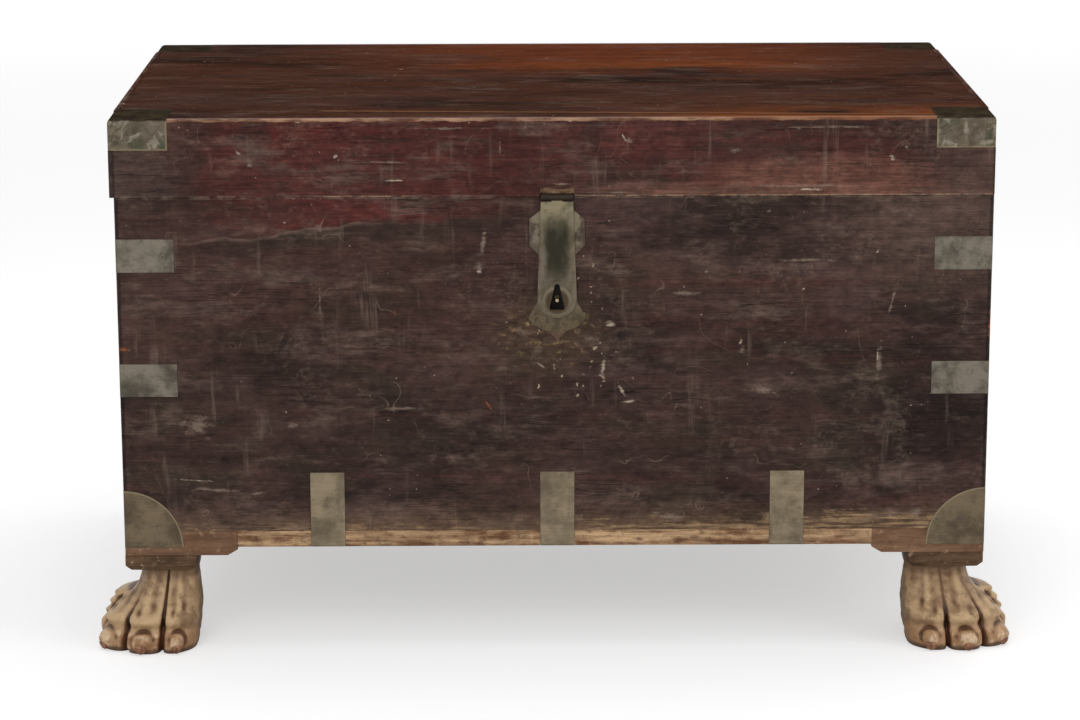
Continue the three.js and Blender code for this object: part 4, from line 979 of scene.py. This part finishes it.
def cap_tone(brass, colour):
    """The lid caps are mottled with green and white on the front, rubbed pale at their borders, and
    grimed almost black on top. The lid has crept to the left by as much as it overhangs."""
    x, _, z = brass.axes()
    grime = brass.cloud(0.03, 5, 0.65, warp=0.6)
    salt = brass.cloud(0.016, 4, 0.65, warp=0.8)
    inwards = half_length + lid_overhang - abs(x + lid_overhang)
    rim = inwards.step(0.0670, 0.0690) | (lid_top - z).step(0.0345, 0.0360)
    top = (z + (grime - 0.5) * 0.004).step(lid_top - 0.0035, lid_top - 0.001)
    return brass.layers(
        colour,
        (grime.step(0.5, 0.6) * 0.8, tint(74, 76, 60)),
        (grime.step(0.44, 0.34) * 0.7, tint(132, 120, 102)),
        (salt.step(0.54, 0.66) * 0.7, tint(160, 153, 134)),
        (rim * grime.step(0.3, 0.5) * 0.7, tint(150, 134, 104)),
        (top * 0.95, brass.mix(grime.step(0.4, 0.65), tint(40, 32, 24), tint(60, 52, 38))),
    )


def plate_tone(brass, colour):
    """The quarter-round plates are rubbed pale along their arc."""
    x, _, z = brass.axes()
    out = ((half_length - abs(x)) ** 2 + (z - body_foot) ** 2) ** 0.5
    return brass.mix(out.step(0.0685, 0.0700) * 0.7, colour, tint(150, 136, 106))


def lock_tone(brass, colour):
    """The lock plate is pale at its ears and browner and dirtier towards its foot."""
    x, _, z = brass.axes()
    grime = brass.cloud((0.014, 0.014, 0.02), 5, 0.68)
    ears = (z + grime * 0.02).step(seam - 0.07, seam - 0.045)
    foot = (z + grime * 0.03).step(seam - 0.112, seam - 0.135)
    ear_foot = (z + grime * 0.03).step(seam - 0.036, seam - 0.052) * z.step(seam - 0.08, seam - 0.06)
    ear_rim = (abs(x - lock_x) + (grime - 0.5) * 0.03).step(0.0235, 0.030) * z.step(seam - 0.09, seam - 0.07)
    tip = (z + grime * 0.02).step(seam - 0.150, seam - 0.166)
    return brass.layers(
        colour,
        (ears * 0.8, tint(130, 118, 98)),
        (foot * 0.8, brass.mix(grime.step(0.42, 0.58), tint(62, 50, 32), tint(108, 91, 62))),
        ((ear_foot | ear_rim) * 0.8, tint(72, 57, 45)),
        (tip * 0.8, tint(96, 60, 50)),
        (grime.step(0.5, 0.62) * 0.8, tint(56, 44, 32)),
    )


mount_brass = old_brass("mount_brass", (82, 75, 62), (128, 119, 104), (52, 44, 33))
cap_brass = old_brass("cap_brass", (100, 90, 76), (120, 110, 96), (68, 58, 46), 0.55, 0, cap_tone, 0)
foot_brass = old_brass("foot_brass", (118, 104, 82), (150, 134, 108), (76, 62, 44))
plate_brass = old_brass("plate_brass", (86, 72, 52), (118, 102, 78), (60, 49, 34), tone=plate_tone)
for name in corner_names:
    dress([f"lid_cap_{name}"], cap_brass)
    dress([f"upper_strap_{name}", f"lower_strap_{name}"], mount_brass)
    dress([f"corner_plate_{name}"], plate_brass)
for name in ("left", "middle", "right"):
    dress([f"edge_strap_{name}_front", f"edge_strap_{name}_rear"], foot_brass)


# Lock
# A brass plate with ears and an ogee foot, the hasp over it with a raised keyhole boss, its hinge under
# the lid, and the lock's box, pin and bolt behind.

keyhole_rise = seam - 0.126


def from_keyhole(brass):
    """How far each point is from the middle of the keyhole, seen from the front."""
    x, _, z = brass.axes()
    return ((x - lock_x) ** 2 + (z - keyhole_rise) ** 2) ** 0.5


def hasp_tone(brass, colour):
    """Pale at the top, dark and greenish down its middle and paler at its sides, with a dark boss inside a
    pale ring; painted black at its knuckle and behind, as shade under the lid and against the lock plate."""
    x, y, z = brass.axes()
    cloud = brass.cloud((0.016, 0.016, 0.03), 5, 0.6)
    green = brass.cloud(0.02, 3, 0.6)
    top = (z + cloud * 0.02).step(seam - 0.04, seam - 0.004)
    sides = abs(x - lock_x).step(0.009, 0.019)
    middle = abs(z - (seam - 0.062)).step(0.048, 0.016) * (1 - sides)
    out = from_keyhole(brass)
    # Painted shade: the knuckle and leaf under the lid, and the hasp's back against the plate, are made near
    # black.
    grimed = z.step(seam - 0.0052, seam - 0.0042) | y.step(front + 0.0015, front + 0.002)
    return brass.layers(
        colour,
        (cloud.step(0.42, 0.6) * 0.5, tint(112, 102, 92)),
        (top * 0.85, brass.mix(green.step(0.46, 0.6), tint(150, 137, 110), tint(106, 104, 76))),
        (middle * (cloud.step(0.7, 0.4) * 0.5 + 0.5), tint(44, 42, 29)),
        (sides * cloud.step(0.4, 0.6) * 0.6, tint(126, 113, 96)),
        (out.step(0.0150, 0.0120) * 0.9, tint(68, 54, 38)),
        (abs(out - 0.0165).step(0.0018, 0.0006) * 0.5, tint(136, 124, 96)),
        (grimed * 0.95, tint(34, 24, 17)),
    )


def box_shade_and_pin_glint(brass, colour):
    """The lock's box is painted black, as the shade seen through the keyhole; only its drill pin keeps the
    pale brass, as a painted highlight.
    """
    return brass.mix(from_keyhole(brass).step(0.0022, 0.0026), colour, tint(36, 27, 19))


lock_brass = old_brass("lock_plate_brass", (104, 90, 68), (122, 106, 82), (70, 58, 42), tone=lock_tone)
# The lock box's brass is pale so that its pin shows as a painted highlight; the rest of the box is painted
# black as shade.
box_brass = old_brass("lock_box_brass", (190, 160, 118), (220, 196, 156), (120, 96, 60), tone=box_shade_and_pin_glint)
hasp_brass = old_brass("hasp_brass", (84, 74, 58), (106, 94, 74), (54, 47, 35), 0.5, 0.15, hasp_tone, 0.2)
rubbed_brass = old_brass("rubbed_brass", (140, 118, 80), (176, 150, 104), (96, 78, 50), 0.32, 0.8)
dress(["lock_plate"], lock_brass)
dress(["lock_case"], box_brass)
dress(["hasp", "hasp_hinge_leaf"], hasp_brass)
dress(["hasp_pin", "lock_bolt"], rubbed_brass)


# Rear hinges and side handles
# Brass butt hinges let into the meeting edges at the back, and a brass bail on a plate at each end.

bail_brass = old_brass("bail_brass", (120, 104, 74), (156, 138, 102), (78, 62, 40), 0.4, 0.6)
for side in ("left", "right"):
    dress([f"{side}_hinge_lid_leaf", f"{side}_hinge_body_leaf", f"{side}_handle_plate"], mount_brass)
    dress([f"{side}_hinge_pin"], rubbed_brass)
    dress([f"{side}_handle_bail"], bail_brass)


# Till
# A small lidded box of thin bare boards across the left end, housed in the front and back boards.

till_wood = worn("till_wood", tint(146, 114, 80), tint(112, 82, 54), "Y")
dress(["till_bottom", "till_front", "till_lid"], till_wood)
